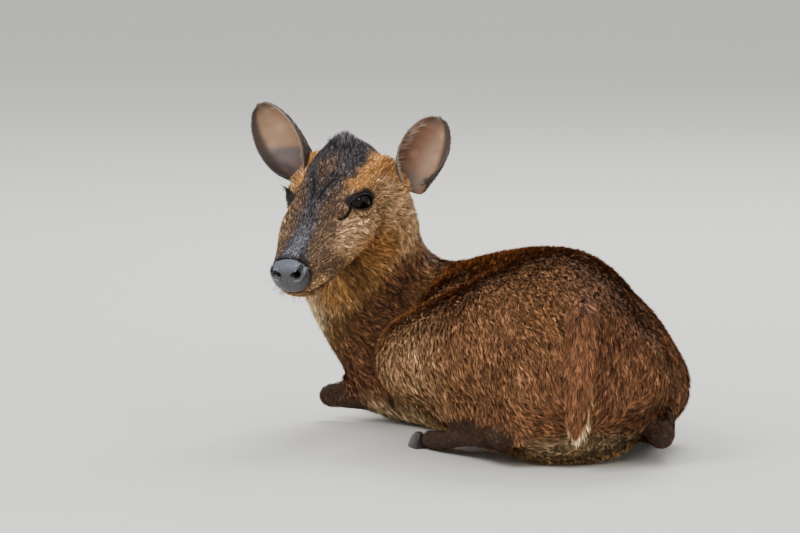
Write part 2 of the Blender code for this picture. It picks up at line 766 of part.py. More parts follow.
def lower_leg(pair, word, side, upper, foot):
    """A shank or forearm, its foot and claws. Return the beds to cut for them."""
    name = {"hind": "shank", "fore": "forearm"}[pair]
    limb = tube(name, upper, SHANK_SIDES)
    paw = tube(pair + "_foot", foot, LEG_SIDES)
    paw = above_floor(paw)
    limb = boolean(limb, [tube("bed", foot, LEG_SIDES, BED_GAP)], "DIFFERENCE")
    limb = above_floor(limb)
    toe, before = foot[-1][0], foot[-2][0]
    forward = Vector((toe.x - before.x, toe.y - before.y, 0)).normalized()
    across = Vector((-forward.y, forward.x, 0))
    paw = trimmed(paw, toe, -forward, GAP)
    beds = []
    for part, way in (("outer", 1), ("inner", -1)):
        named(claw("claw", before, toe, across, way * side), f"{pair}_claw_{word}_{part}", "hoof")
        beds.append(claw("claw_bed", before, toe, across, way * side, CLAW_BED_GAP))
    named(paw, f"{pair}_foot_{word}", "coat")
    named(limb, f"{name}_{word}", "coat")
    beds.append(tube("bed", upper, SHANK_SIDES, BED_GAP))
    beds.append(tube("bed", foot, LEG_SIDES, BED_GAP))
    return beds


def build_body():
    """Part the whole flesh into neck, chest, belly, rump and thighs."""
    flesh = above_floor(grown_together("flesh", body_forms(), BODY_VOXEL, BODY_SMOOTHING, BODY_SHARE))
    flesh = boolean(flesh, [tail_form("tail_bed", BED_GAP)], "DIFFERENCE")
    flesh = build_legs(flesh)
    neck_part, rest = split(flesh, "neck", *NECK_CUT)
    thighs = []
    for word, cut in (("left", THIGH_CUT_LEFT), ("right", THIGH_CUT_RIGHT)):
        thighs.append((word, boolean(duplicate(rest, "thigh"), [thigh_block(cut, 0.0)], "INTERSECT")))
    rest = boolean(rest, [thigh_block(cut, GAP) for cut in (THIGH_CUT_LEFT, THIGH_CUT_RIGHT)], "DIFFERENCE")
    chest, rest = split(rest, "chest", *CHEST_CUT)
    belly, rump = split(rest, "belly", *RUMP_CUT)
    for word, thigh in thighs:
        named(thigh, "thigh_" + word, "coat")
    named(chest, "chest", "coat")
    named(belly, "belly", "coat")
    named(rump, "rump", "coat")
    named(tail_form("tail"), "tail", "coat")
    build_head(neck_part)


def centre_on_floor():
    """Move the whole doe so that its box stands centred on the origin."""
    parts = [obj for obj in bpy.context.scene.objects if not obj.hide_render]
    low = Vector([min(v.co[axis] for obj in parts for v in obj.data.vertices) for axis in range(3)])
    high = Vector([max(v.co[axis] for obj in parts for v in obj.data.vertices) for axis in range(3)])
    shift = Vector((-(low.x + high.x) / 2, -(low.y + high.y) / 2, -low.z))
    for obj in parts:
        obj.data.transform(Matrix.Translation(shift))


clear_scene()
build_body()
centre_on_floor()
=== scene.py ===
"""A lying muntjac doe: skin, coat, ears, eyes, nose and hooves around her CAD model, on a pale floor."""

import json
import logging
import math
from collections.abc import Callable
from dataclasses import dataclass, field
from enum import Enum

import bmesh
import bpy
import numpy as np
from mathutils import Matrix, Vector
from mathutils.kdtree import KDTree

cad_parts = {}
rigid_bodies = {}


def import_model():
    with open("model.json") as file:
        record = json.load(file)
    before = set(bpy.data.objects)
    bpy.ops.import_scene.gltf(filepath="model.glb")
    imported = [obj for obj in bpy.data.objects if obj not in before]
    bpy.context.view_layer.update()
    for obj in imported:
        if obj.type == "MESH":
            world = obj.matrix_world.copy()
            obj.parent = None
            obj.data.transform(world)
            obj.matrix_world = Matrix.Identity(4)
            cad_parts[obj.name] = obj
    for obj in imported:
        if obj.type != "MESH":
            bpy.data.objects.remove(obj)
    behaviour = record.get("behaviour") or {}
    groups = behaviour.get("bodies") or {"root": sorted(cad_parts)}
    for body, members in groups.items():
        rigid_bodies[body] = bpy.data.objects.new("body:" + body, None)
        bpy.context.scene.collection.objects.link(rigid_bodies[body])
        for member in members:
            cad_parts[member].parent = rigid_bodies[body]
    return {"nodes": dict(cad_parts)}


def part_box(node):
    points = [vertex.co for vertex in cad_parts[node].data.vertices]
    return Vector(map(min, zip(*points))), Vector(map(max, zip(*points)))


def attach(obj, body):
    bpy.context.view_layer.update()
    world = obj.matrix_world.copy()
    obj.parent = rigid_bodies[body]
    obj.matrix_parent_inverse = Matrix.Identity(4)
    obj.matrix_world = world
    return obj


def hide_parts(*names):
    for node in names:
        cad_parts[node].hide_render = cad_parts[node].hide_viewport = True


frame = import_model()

LOG = logging.getLogger("doe")
MM = 0.001
CM = 0.01
WELD = 1e-5  # metres between vertices that are one
HEAD_REACH = 12.5  # cm from the head's origin, which holds all of the face
Triple = tuple[float, float, float]


class Side(Enum):
    """The doe's own left and right."""

    LEFT = 1
    RIGHT = -1

    @property
    def word(self) -> str:
        """The side's name in node names."""
        return self.name.lower()


# Small tools


def deselect() -> None:
    """Deselect every object."""
    for obj in bpy.context.view_layer.objects:
        obj.select_set(False)


def pick(*objects: bpy.types.Object) -> None:
    """Select these objects only and make the first active.

    Args:
        objects: what is selected.
    """
    deselect()
    for obj in objects:
        obj.select_set(True)
    bpy.context.view_layer.objects.active = objects[0]


def apply_modifier(obj: bpy.types.Object, kind: str, **values: object) -> None:
    """Add a modifier with its values and apply it.

    Args:
        obj: the object to change.
        kind: the modifier's type.
        values: the modifier's settings.
    """
    pick(obj)
    modifier = obj.modifiers.new(kind.lower(), kind)
    for name, value in values.items():
        setattr(modifier, name, value)
    bpy.ops.object.modifier_apply(modifier=modifier.name)


def add(name: str, data: bpy.types.ID) -> bpy.types.Object:
    """Put a mesh, a lamp or a camera into the scene.

    Args:
        name: the object's name.
        data: what it holds.

    Returns:
        The new object.
    """
    obj = bpy.data.objects.new(name, data)
    bpy.context.scene.collection.objects.link(obj)
    return obj


def copy_of(node: str, name: str) -> bpy.types.Object:
    """A copy of a CAD node with its own mesh.

    Args:
        node: the node's name.
        name: the copy's name.

    Returns:
        The copy.
    """
    return add(name, frame["nodes"][node].data.copy())


def add_ball(segments: int, rings: int, radius: float = 1.0, place: Triple = (0, 0, 0)) -> bpy.types.Object:
    """Add a ball.

    Args:
        segments: its slices.
        rings: its rings.
        radius: its radius in metres.
        place: its middle.

    Returns:
        The ball.
    """
    deselect()
    bpy.ops.mesh.primitive_uv_sphere_add(segments=segments, ring_count=rings, radius=radius, location=place)
    return bpy.context.object


def weld(obj: bpy.types.Object) -> None:
    """Merge an object's doubled vertices.

    Args:
        obj: the object to change.
    """
    bm = bmesh.new()
    bm.from_mesh(obj.data)
    bmesh.ops.remove_doubles(bm, verts=bm.verts, dist=WELD)
    bm.to_mesh(obj.data)
    bm.free()


def tree_of(places: np.ndarray) -> KDTree:
    """A tree that finds the nearest of some places.

    Args:
        places: an array of N by 3.

    Returns:
        The tree, ready for use.
    """
    tree = KDTree(len(places))
    for index, place in enumerate(places):
        tree.insert(place, index)
    tree.balance()
    return tree


def folded(place: np.ndarray) -> np.ndarray:
    """Places in the head's frame, with its right half laid on its left.

    Args:
        place: an array of N by 3.

    Returns:
        An array of N by 3.
    """
    return np.column_stack([place[:, 0], np.abs(place[:, 1]), place[:, 2]])


def coords(obj: bpy.types.Object) -> np.ndarray:
    """The object's vertices.

    Args:
        obj: a mesh object at the origin.

    Returns:
        An array of N by 3.
    """
    flat = np.zeros(len(obj.data.vertices) * 3)
    obj.data.vertices.foreach_get("co", flat)
    return flat.reshape(-1, 3)


def set_coords(obj: bpy.types.Object, places: np.ndarray) -> None:
    """Move the object's vertices.

    Args:
        obj: a mesh object at the origin.
        places: an array of N by 3.
    """
    obj.data.vertices.foreach_set("co", places.astype(np.float32).ravel())
    obj.data.update()


def normals(obj: bpy.types.Object) -> np.ndarray:
    """The object's vertex normals.

    Args:
        obj: a mesh object.

    Returns:
        An array of N by 3.
    """
    flat = np.zeros(len(obj.data.vertices) * 3)
    obj.data.vertices.foreach_get("normal", flat)
    return flat.reshape(-1, 3)


def unit(rows: np.ndarray) -> np.ndarray:
    """Rows made one long.

    Args:
        rows: an array of N by 3.

    Returns:
        The rows divided by their length.
    """
    return rows / np.maximum(np.linalg.norm(rows, axis=-1, keepdims=True), 1e-9)


def smooth_step(low: float, high: float, value: np.ndarray) -> np.ndarray:
    """A soft step from 0 at low to 1 at high.

    Args:
        low: where it starts.
        high: where it ends, which may lie below low.
        value: where it is read.

    Returns:
        Numbers from 0 to 1.
    """
    share = np.clip((value - low) / (high - low), 0, 1)
    return share * share * (3 - 2 * share)


def from_srgb(red: float, green: float, blue: float) -> np.ndarray:
    """A colour as the eye reads it, made linear.

    Args:
        red: 0 to 255.
        green: 0 to 255.
        blue: 0 to 255.

    Returns:
        Three linear numbers.
    """
    share = np.array([red, green, blue]) / 255
    return np.where(share <= 0.04045, share / 12.92, ((share + 0.055) / 1.055) ** 2.4)


def to_polyline(points: np.ndarray, line: np.ndarray) -> tuple[np.ndarray, np.ndarray]:
    """Distance from points to a line of points, and how far along it they fall.

    Args:
        points: an array of N by 3.
        line: an array of M by 3.

    Returns:
        The distances, and the share of the line from 0 to 1.
    """
    best = np.full(len(points), 1e9)
    along = np.zeros(len(points))
    spans = len(line) - 1
    for i in range(spans):
        step = line[i + 1] - line[i]
        share = np.clip(((points - line[i]) @ step) / (step @ step), 0, 1)
        far = np.linalg.norm(points - line[i] - share[:, None] * step, axis=1)
        closer = far < best
        best = np.where(closer, far, best)
        along = np.where(closer, (i + share) / spans, along)
    return best, along


def ripple(points: np.ndarray, scale: float, seed: int, waves: int = 9) -> np.ndarray:
    """Even waves of about one size, that look unplanned.

    Args:
        points: an array of N by 3.
        scale: the size of a wave in metres.
        seed: which of many patterns.
        waves: how many waves cross.

    Returns:
        Numbers from about -1 to 1.
    """
    rng = np.random.default_rng(seed)
    total = np.zeros(len(points))
    for _ in range(waves):
        way = unit(rng.normal(size=3)) * rng.uniform(0.7, 1.5) * 2 * math.pi / scale
        total += np.sin(points @ way + rng.uniform(0, 2 * math.pi))
    return total / 4.0


# Anatomy


@dataclass(frozen=True)
class Anatomy:
    """Where the doe's regions are, from the sizes that her CAD model is driven by."""

    head_origin: Triple = (-0.1948, 0.130, 0.2310)
    head_heading: float = 239.0
    head_pitch: float = 29.0
    eye_centre: Triple = (-0.0030, 0.0332, 0.0005)
    eye_radius: float = 0.0133
    eye_look: Triple = (0.42, 0.90, 0.06)
    opening: Triple = (12.6, 9.8, 4.8)
    opening_centre: tuple[float, float] = (1.0, -0.4)
    opening_tilt: float = 19.0
    trunk_line: tuple[tuple[float, float], ...] = (
        (-0.1620, 0.2850),
        (-0.1340, 0.2720),
        (-0.0960, 0.2500),
        (-0.0560, 0.2070),
        (-0.0260, 0.1550),
        (-0.0030, 0.0950),
        (0.0150, 0.0300),
        (0.0300, -0.0300),
        (0.0440, -0.0900),
        (0.0555, -0.1330),
    )
    neck_line: tuple[Triple, ...] = (
        (-0.172, 0.160, 0.232),
        (-0.165, 0.185, 0.217),
        (-0.165, 0.211, 0.187),
        (-0.158, 0.240, 0.147),
        (-0.133, 0.264, 0.109),
        (-0.098, 0.268, 0.092),
    )

    @property
    def shift(self) -> np.ndarray:
        """How far the CAD model was moved to stand on its own origin.

        Returns:
            The move in metres.
        """
        low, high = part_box("eye_left")
        turn = self.head_turn
        nominal = np.array(self.head_origin) + turn @ np.array(self.eye_centre)
        return np.array((low + high) / 2) - nominal

    @property
    def head_turn(self) -> np.ndarray:
        """The way the head is turned.

        Returns:
            Its own forward, left and up as columns.
        """
        turn = Matrix.Rotation(math.radians(self.head_heading), 3, "Z")
        nod = Matrix.Rotation(math.radians(self.head_pitch), 3, "Y")
        return np.array(turn @ nod)

    def to_head(self, points: np.ndarray) -> np.ndarray:
        """Points in the head's frame, in centimetres.

        Args:
            points: an array of N by 3 in the row frame.

        Returns:
            Forward, left and up of each, in cm.
        """
        return (points - np.array(self.head_origin) - self.shift) @ self.head_turn / CM

    def from_head(self, places: np.ndarray) -> np.ndarray:
        """Points of the row frame from places in the head's frame.

        Args:
            places: an array of N by 3, forward, left and up in cm.

        Returns:
            An array of N by 3 in metres.
        """
        return (np.atleast_2d(places) * CM) @ self.head_turn.T + np.array(self.head_origin) + self.shift

    def turned(self, ways: np.ndarray) -> np.ndarray:
        """Directions of the row frame from directions in the head's frame.

        Args:
            ways: an array of N by 3.

        Returns:
            An array of N by 3.
        """
        return np.atleast_2d(ways) @ self.head_turn.T

    def eye_frame(self, side: Side) -> tuple[np.ndarray, np.ndarray]:
        """An eye's place and its axes: along its opening, up, and where it looks.

        Args:
            side: which eye.

        Returns:
            The centre, and a matrix with the three axes as rows.
        """
        mirror = np.array([1, side.value, 1])
        centre = self.from_head(np.array(self.eye_centre) / CM * mirror)[0]
        look = unit(self.turned(np.array(self.eye_look) * mirror))[0]
        up = self.turned(np.array([0.0, 0.0, 1.0]))[0]
        along = unit(np.cross(up, look))
        return centre, np.array([along, np.cross(look, along), look])

    def on_eye(self, points: np.ndarray, side: Side) -> tuple[np.ndarray, np.ndarray, np.ndarray]:
        """Places around an eye, in mm from its middle.

        Args:
            points: an array of N by 3 in the row frame.
            side: which eye.

        Returns:
            How far each lies toward the nose, up, and outward.
        """
        centre, axes = self.eye_frame(side)
        local = (points - centre) @ axes.T / MM
        return -local[:, 0] * side.value, local[:, 1], local[:, 2]

    def surround(self, across: np.ndarray, rise: np.ndarray) -> np.ndarray:
        """How far out of the bare skin round an eye a place is, which reaches further back than the opening.

        Args:
            across: mm toward the nose from the eye's middle.
            rise: mm up.

        Returns:
            About 1.2 on the bare skin's edge and less inside it.
        """
        return self.almond(across + 2.6, rise * np.where(rise > 0, 1.16, 1.0) + 0.4)

    def almond(self, across: np.ndarray, rise: np.ndarray) -> np.ndarray:
        """How far out of the eye's opening a place is.

        Args:
            across: mm toward the nose from the eye's middle.
            rise: mm up.

        Returns:
            1 on the opening's edge and less inside it.
        """
        half, above, below = self.opening
        tilt = math.radians(self.opening_tilt)
        across = across - self.opening_centre[0]
        rise = rise - self.opening_centre[1]
        along = across * math.cos(tilt) + rise * math.sin(tilt)
        over = rise * math.cos(tilt) - across * math.sin(tilt)
        tall = np.where(over >= 0, above, below)
        return ((np.abs(along) / half) ** 1.8 + (np.abs(over) / tall) ** 1.8) ** (1 / 1.8)


ANATOMY = Anatomy()


class Flesh(Enum):
    """The flesh nodes of the CAD model."""

    HEAD = "head"
    NECK = "neck"
    CHEST = "chest"
    BELLY = "belly"
    RUMP = "rump"
    TAIL = "tail"
    THIGH_LEFT = "thigh_left"
    THIGH_RIGHT = "thigh_right"
    SHANK_LEFT = "shank_left"
    SHANK_RIGHT = "shank_right"
    HIND_FOOT_LEFT = "hind_foot_left"
    HIND_FOOT_RIGHT = "hind_foot_right"
    FOREARM_LEFT = "forearm_left"
    FOREARM_RIGHT = "forearm_right"
    FORE_FOOT_LEFT = "fore_foot_left"
    FORE_FOOT_RIGHT = "fore_foot_right"

    @property
    def region(self) -> str:
        """The node's name without its side."""
        return self.value.removesuffix("_left").removesuffix("_right")


@dataclass(frozen=True)
class Pelt:
    """The coat of one region: how deep it stands, and its hairs, in mm, with how many to a square mm."""

    depth: float
    length: float
    width: float
    crowd: float


PELTS = {
    "head": Pelt(1.6, 4.4, 0.36, 2.4),
    "neck": Pelt(4.2, 9.0, 0.58, 1.45),
    "chest": Pelt(4.8, 10.0, 0.74, 0.75),
    "belly": Pelt(4.8, 10.0, 0.74, 0.75),
    "rump": Pelt(4.8, 10.0, 0.70, 0.85),
    "tail": Pelt(2.5, 13.0, 0.60, 1.8),
    "thigh": Pelt(4.2, 9.0, 0.70, 0.80),
    "shank": Pelt(2.0, 5.5, 0.60, 0.9),
    "hind_foot": Pelt(1.2, 3.6, 0.50, 1.1),
    "forearm": Pelt(1.8, 5.0, 0.55, 0.9),
    "fore_foot": Pelt(1.1, 3.4, 0.50, 1.1),
}


# Markings


class Tone(Enum):
    """The coat's tones: the colour of a hair's middle and of its tip, each red, green and blue up to 255."""

    CHESTNUT = ((74, 48, 34), (146, 96, 62))
    RUST = ((98, 66, 44), (170, 120, 78))
    TAN = ((134, 98, 66), (240, 202, 152))
    # GOLDEN is laid on fur that faces up: partly the back's golden tips, partly painted light from above
    GOLDEN = ((112, 78, 46), (194, 142, 88))
    WHEAT = ((126, 92, 62), (214, 170, 122))
    # UNDER is painted shade: the dark of the throat and chin where the jaw shades them
    UNDER = ((58, 42, 24), (112, 84, 46))
    TEMPLE = ((112, 70, 34), (176, 118, 62))
    # painted sheen: the pale shine down the middle of the nose's bridge
    PAINTED_SHEEN = ((78, 76, 80), (176, 176, 186))
    FAWN = ((92, 62, 38), (172, 122, 72))
    ORANGE = ((176, 118, 60), (224, 168, 100))
    SLATE = ((36, 32, 34), (104, 98, 100))
    BROW = ((66, 49, 39), (136, 108, 84))
    # the bridge's pale tips are partly grey hair, partly painted sheen
    BRIDGE = ((44, 39, 40), (120, 112, 114))
    CREAM = ((188, 160, 118), (226, 204, 162))
    JAW = ((122, 84, 46), (196, 146, 86))
    NAPE = ((38, 28, 23), (132, 94, 60))
    LEG = ((64, 46, 36), (108, 80, 58))
    # PIT darkens the slits and the mouth line: partly their dark skin, partly painted shade in the grooves
    PIT = ((20, 16, 16), (40, 34, 34))


@dataclass(frozen=True)
class Markings:
    """The pattern of the coat: which tones lie where, and the lines that its three dark marks follow; the
    mark along the crease between neck and thigh is partly dark fur and partly painted shade.
    """

    uneven: float = 0.12
    nape_line: tuple[Triple, ...] = (
        (-0.142, 0.190, 0.285),
        (-0.113, 0.222, 0.235),
        (-0.098, 0.232, 0.200),
        (-0.092, 0.235, 0.175),
    )
    crease_shade_line: tuple[Triple, ...] = (
        (-0.085, 0.190, 0.170),
        (-0.124, 0.193, 0.137),
        (-0.143, 0.197, 0.115),
        (-0.160, 0.200, 0.080),
    )
    arm_line: tuple[Triple, ...] = (
        (-4.66, 2.30, 2.38),
        (-2.09, 2.10, 2.55),
        (-0.29, 1.29, 2.17),
        (1.36, 0.50, 1.59),
        (2.60, 0.35, 1.05),
    )

    def colours(
        self,
        points: np.ndarray,
        facing: np.ndarray,
        weights: dict[str, np.ndarray],
        gaps: dict[str, np.ndarray],
    ) -> tuple[np.ndarray, np.ndarray]:
        """The coat's colours.

        Args:
            points: an array of N by 3 in the row frame.
            facing: the skin's normals there.
            weights: how much each place belongs to each flesh node's region, from 0 to 1.
            gaps: how far each place is from each groove, in cm.

        Returns:
            The middle and tip colours, each N by 3 and linear.
        """
        count = len(points)
        body, tips = (np.tile(from_srgb(*colour), (count, 1)) for colour in Tone.CHESTNUT.value)

        def lay(tone: Tone, mask: np.ndarray) -> None:
            """Blend a tone over what is there.

            Args:
                tone: the tone.
                mask: how much of it, from 0 to 1.
            """
            share = np.clip(mask, 0, 1)[:, None]
            for layer, colour in zip((body, tips), tone.value):
                layer[:] = layer * (1 - share) + from_srgb(*colour) * share

        wobble = ripple(points, 0.012, 3) * self.uneven
        self.paint_body(lay, points, facing, weights, wobble)
        self.paint_head(lay, points, weights, gaps, wobble)
        return body, tips

    def paint_body(
        self,
        lay: Callable[[Tone, np.ndarray], None],
        points: np.ndarray,
        facing: np.ndarray,
        weights: dict[str, np.ndarray],
        wobble: np.ndarray,
    ) -> None:
        """Lay the colours of the trunk, neck, legs and tail.

        Args:
            lay: blends a tone in by a mask.
            points: places in the row frame.
            facing: normals there.
            weights: regions.
            wobble: a small unevenness for the edges of the marks.
        """
        away = points - ANATOMY.shift
        place = ANATOMY.to_head(points)
        lay(Tone.RUST, 0.80 * weights["thigh"] + 0.35 * weights["chest"] + 0.15 * weights["rump"])
        # painted light: fur that faces up turns golden, partly its own golden tips and partly light from
        # above
        sunny = smooth_step(0.1, 0.8, facing[:, 2] + wobble)
        sunny = sunny * smooth_step(0.10, -0.02, away[:, 0] + wobble * 0.1)
        lay(Tone.GOLDEN, (weights["chest"] + weights["belly"] + weights["rump"] * 0.5) * sunny * 0.75)
        lay(Tone.WHEAT, weights["thigh"] * smooth_step(-0.065, -0.120, away[:, 0] + wobble * 0.1) * 0.8)
        lay(Tone.FAWN, weights["neck"] * 0.9)
        behind = smooth_step(-10.5, -6.5, place[:, 0]) * smooth_step(-11.0, -8.0, place[:, 2] + wobble)
        lay(Tone.TAN, weights["neck"] * behind * smooth_step(1.4, 3.2, place[:, 1] + wobble) * 0.9)
        # painted shade on the throat under the jaw
        shade = smooth_step(-8.2, -10.5, place[:, 2] + wobble) * smooth_step(1.9, 0.4, place[:, 1] + wobble)
        lay(Tone.UNDER, weights["neck"] * shade * 0.75)
        down = smooth_step(-0.1, -0.8, facing[:, 2] + wobble)
        low = smooth_step(0.045, 0.010, points[:, 2] + wobble * 0.03)
        lay(Tone.CREAM, down * low * (weights["chest"] + weights["belly"] + weights["rump"] * 0.8))
        legs = weights["shank"] * 0.7 + weights["hind_foot"]
        legs = legs + weights["forearm"] * 0.8 + weights["fore_foot"]
        lay(Tone.LEG, legs)
        front = smooth_step(-0.190, -0.208, away[:, 0] + wobble * 0.02)
        front = front * smooth_step(0.205, 0.180, away[:, 2])
        lay(Tone.CREAM, (weights["neck"] + weights["chest"]) * front * 0.85)
        gap, _ = to_polyline(away, np.array(self.nape_line))
        lay(Tone.NAPE, smooth_step(0.034, 0.008, gap + wobble * 0.03) * 0.62)
        # the crease between neck and thigh: partly dark fur, partly painted shade in the fold
        gap, _ = to_polyline(away, np.array(self.crease_shade_line))
        lay(Tone.NAPE, smooth_step(0.020, 0.004, gap + wobble * 0.03) * 0.45)
        under = smooth_step(0.1, 0.6, facing[:, 1] - 0.3 * facing[:, 2])
        lay(Tone.CREAM, weights["tail"] * under)

    def paint_head(
        self,
        lay: Callable[[Tone, np.ndarray], None],
        points: np.ndarray,
        weights: dict[str, np.ndarray],
        gaps: dict[str, np.ndarray],
        wobble: np.ndarray,
    ) -> None:
        """Lay the colours of the face.

        Args:
            lay: blends a tone in by a mask.
            points: places in the row frame.
            weights: regions.
            gaps: distances from the grooves, in cm.
            wobble: a small unevenness for the edges of the marks.
        """
        place = ANATOMY.to_head(points)
        mirrored = folded(place)
        forward, side, up = mirrored.T
        head = weights["head"]
        lay(Tone.TAN, head)
        low = smooth_step(4.2, 3.1, side + wobble)
        jaw = head * low * smooth_step(-1.6, -3.4, up + wobble)
        lay(Tone.JAW, jaw * smooth_step(5.5, 3.0, forward) * 0.6)
        lay(Tone.JAW, head * low * smooth_step(-3.8, -5.4, up + wobble) * 0.9)
        # painted shade under the chin
        chin = head * smooth_step(-5.0, -6.6, up + wobble) * smooth_step(6.5, 4.0, forward)
        lay(Tone.UNDER, chin * smooth_step(1.5, 0.5, side) * 0.7)
        lay(Tone.BROW, head * smooth_step(4.5, 6.5, forward) * smooth_step(-3.8, -2.8, up + wobble) * 0.85)
        high = smooth_step(-0.2, 1.0, up + 0.12 * forward)
        lay(Tone.TEMPLE, head * high * smooth_step(3.3, 4.2, side + wobble) * 0.85)
        behind = smooth_step(-2.6, -4.0, forward + wobble) * smooth_step(-2.2, -0.2, up + wobble)
        lay(Tone.TEMPLE, (head + weights["neck"] * 0.7) * behind * smooth_step(2.8, 4.0, side) * 0.85)
        ragged = wobble * 2.2
        spot = smooth_step(2.1, 2.9, side + ragged) * smooth_step(4.7, 3.6, side) * high
        lay(Tone.ORANGE, head * spot * smooth_step(1.0, -0.6, forward + ragged))
        middle = head * smooth_step(3.3, 2.3, side + ragged) * smooth_step(-0.6, 0.5, up)
        lay(Tone.BROW, middle * smooth_step(4.2, 2.0, forward))
        slope = smooth_step(4.0, 2.4, side + ragged) * smooth_step(-2.2, -0.7, up)
        slope = slope * smooth_step(8.0, 4.0, forward)
        lay(Tone.BROW, head * slope * smooth_step(-0.6, 1.0, forward) * 0.95)
        edge = np.interp(forward, [-0.5, 1.5, 2.8, 4.7, 6.9, 9.0], [0.5, 0.7, 0.95, 1.15, 1.35, 1.9])
        start = smooth_step(-0.8, 1.6, forward + ragged)
        strip = head * smooth_step(0.6, -0.6, side - edge + wobble) * start * smooth_step(-3.6, -1.8, up)
        lay(Tone.BRIDGE, strip)
        # painted sheen down the middle of the bridge
        lay(Tone.PAINTED_SHEEN, strip * smooth_step(0.9, 0.2, side - 0.2) * smooth_step(3.5, 7.0, forward) * 0.75)
        gap, along = to_polyline(mirrored, np.array(self.arm_line))
        lay(Tone.SLATE, head * smooth_step(1.20, 0.30, gap + ragged) * smooth_step(1.02, 0.75, along) * 0.9)
        crown = head * smooth_step(1.7, 1.0, side + ragged) * smooth_step(1.5, -2.0, forward)
        lay(Tone.SLATE, crown * smooth_step(0.6, 1.4, up) * 0.2)
        crest = head * smooth_step(-1.4, -3.2, forward + ragged) * smooth_step(2.9, 2.3, side + wobble)
        lay(Tone.SLATE, crest * smooth_step(-1.0, 0.6, up))
        patch = np.sqrt(((forward - 5.8) / 1.5) ** 2 + ((up + 3.7) / 1.3) ** 2)
        lay(Tone.BROW, head * smooth_step(1.3, 0.3, patch + wobble) * smooth_step(1.6, 2.4, side) * 0.9)
        # painted shade in each groove, over the groove's own dark skin
        for groove in GROOVES:
            gap = gaps[groove.name]
            lay(Tone.PIT, head * smooth_step(groove.width * 1.9, groove.width * 0.9, gap) * groove.dark)
        for eye in Side:
            across, rise, out = ANATOMY.on_eye(points, eye)
            ring = smooth_step(1.34, 1.16, ANATOMY.surround(across, rise) + wobble)
            ring = np.maximum(ring, smooth_step(1.24, 1.12, ANATOMY.almond(across, rise)))
            lay(Tone.SLATE, head * ring * (out > -2) * (np.hypot(across, rise) < 22) * 0.95)


@dataclass(frozen=True)
class Groove:
    """A groove on both sides of the face: its line and half width in cm, its depth and lip in mm, and how
    dark it is painted, which is partly its own dark skin and partly painted shade.
    """

    name: str
    line: tuple[Triple, ...]
    width: float
    depth: float
    lip: float
    dark: float


GROOVES = (
    Groove(
        name="before_eye",
        line=(
            (1.05, 3.58, 0.55),
            (1.55, 3.64, 0.22),
            (2.15, 3.51, 0.0),
            (2.75, 3.30, -0.10),
            (3.10, 2.94, 0.06),
        ),
        width=0.095,
        depth=2.6,
        lip=0.7,
        dark=1.0,
    ),
    Groove(
        name="forehead",
        line=((-0.45, 1.22, 2.25), (0.21, 0.78, 2.05), (1.03, 0.47, 1.73), (1.85, 0.36, 1.36)),
        width=0.09,
        depth=1.3,
        lip=0.3,
        dark=0.9,
    ),
    Groove(
        name="mouth",
        line=(
            (10.0, 0.0, -4.05),
            (9.3, 1.3, -4.25),
            (8.2, 2.2, -4.6),
            (6.6, 2.7, -4.75),
            (4.9, 3.0, -4.7),
            (3.9, 3.2, -4.5),
        ),
        width=0.07,
        depth=0.9,
        lip=0.15,
        dark=0.45,
    ),
)

MARKINGS = Markings()


# Skin


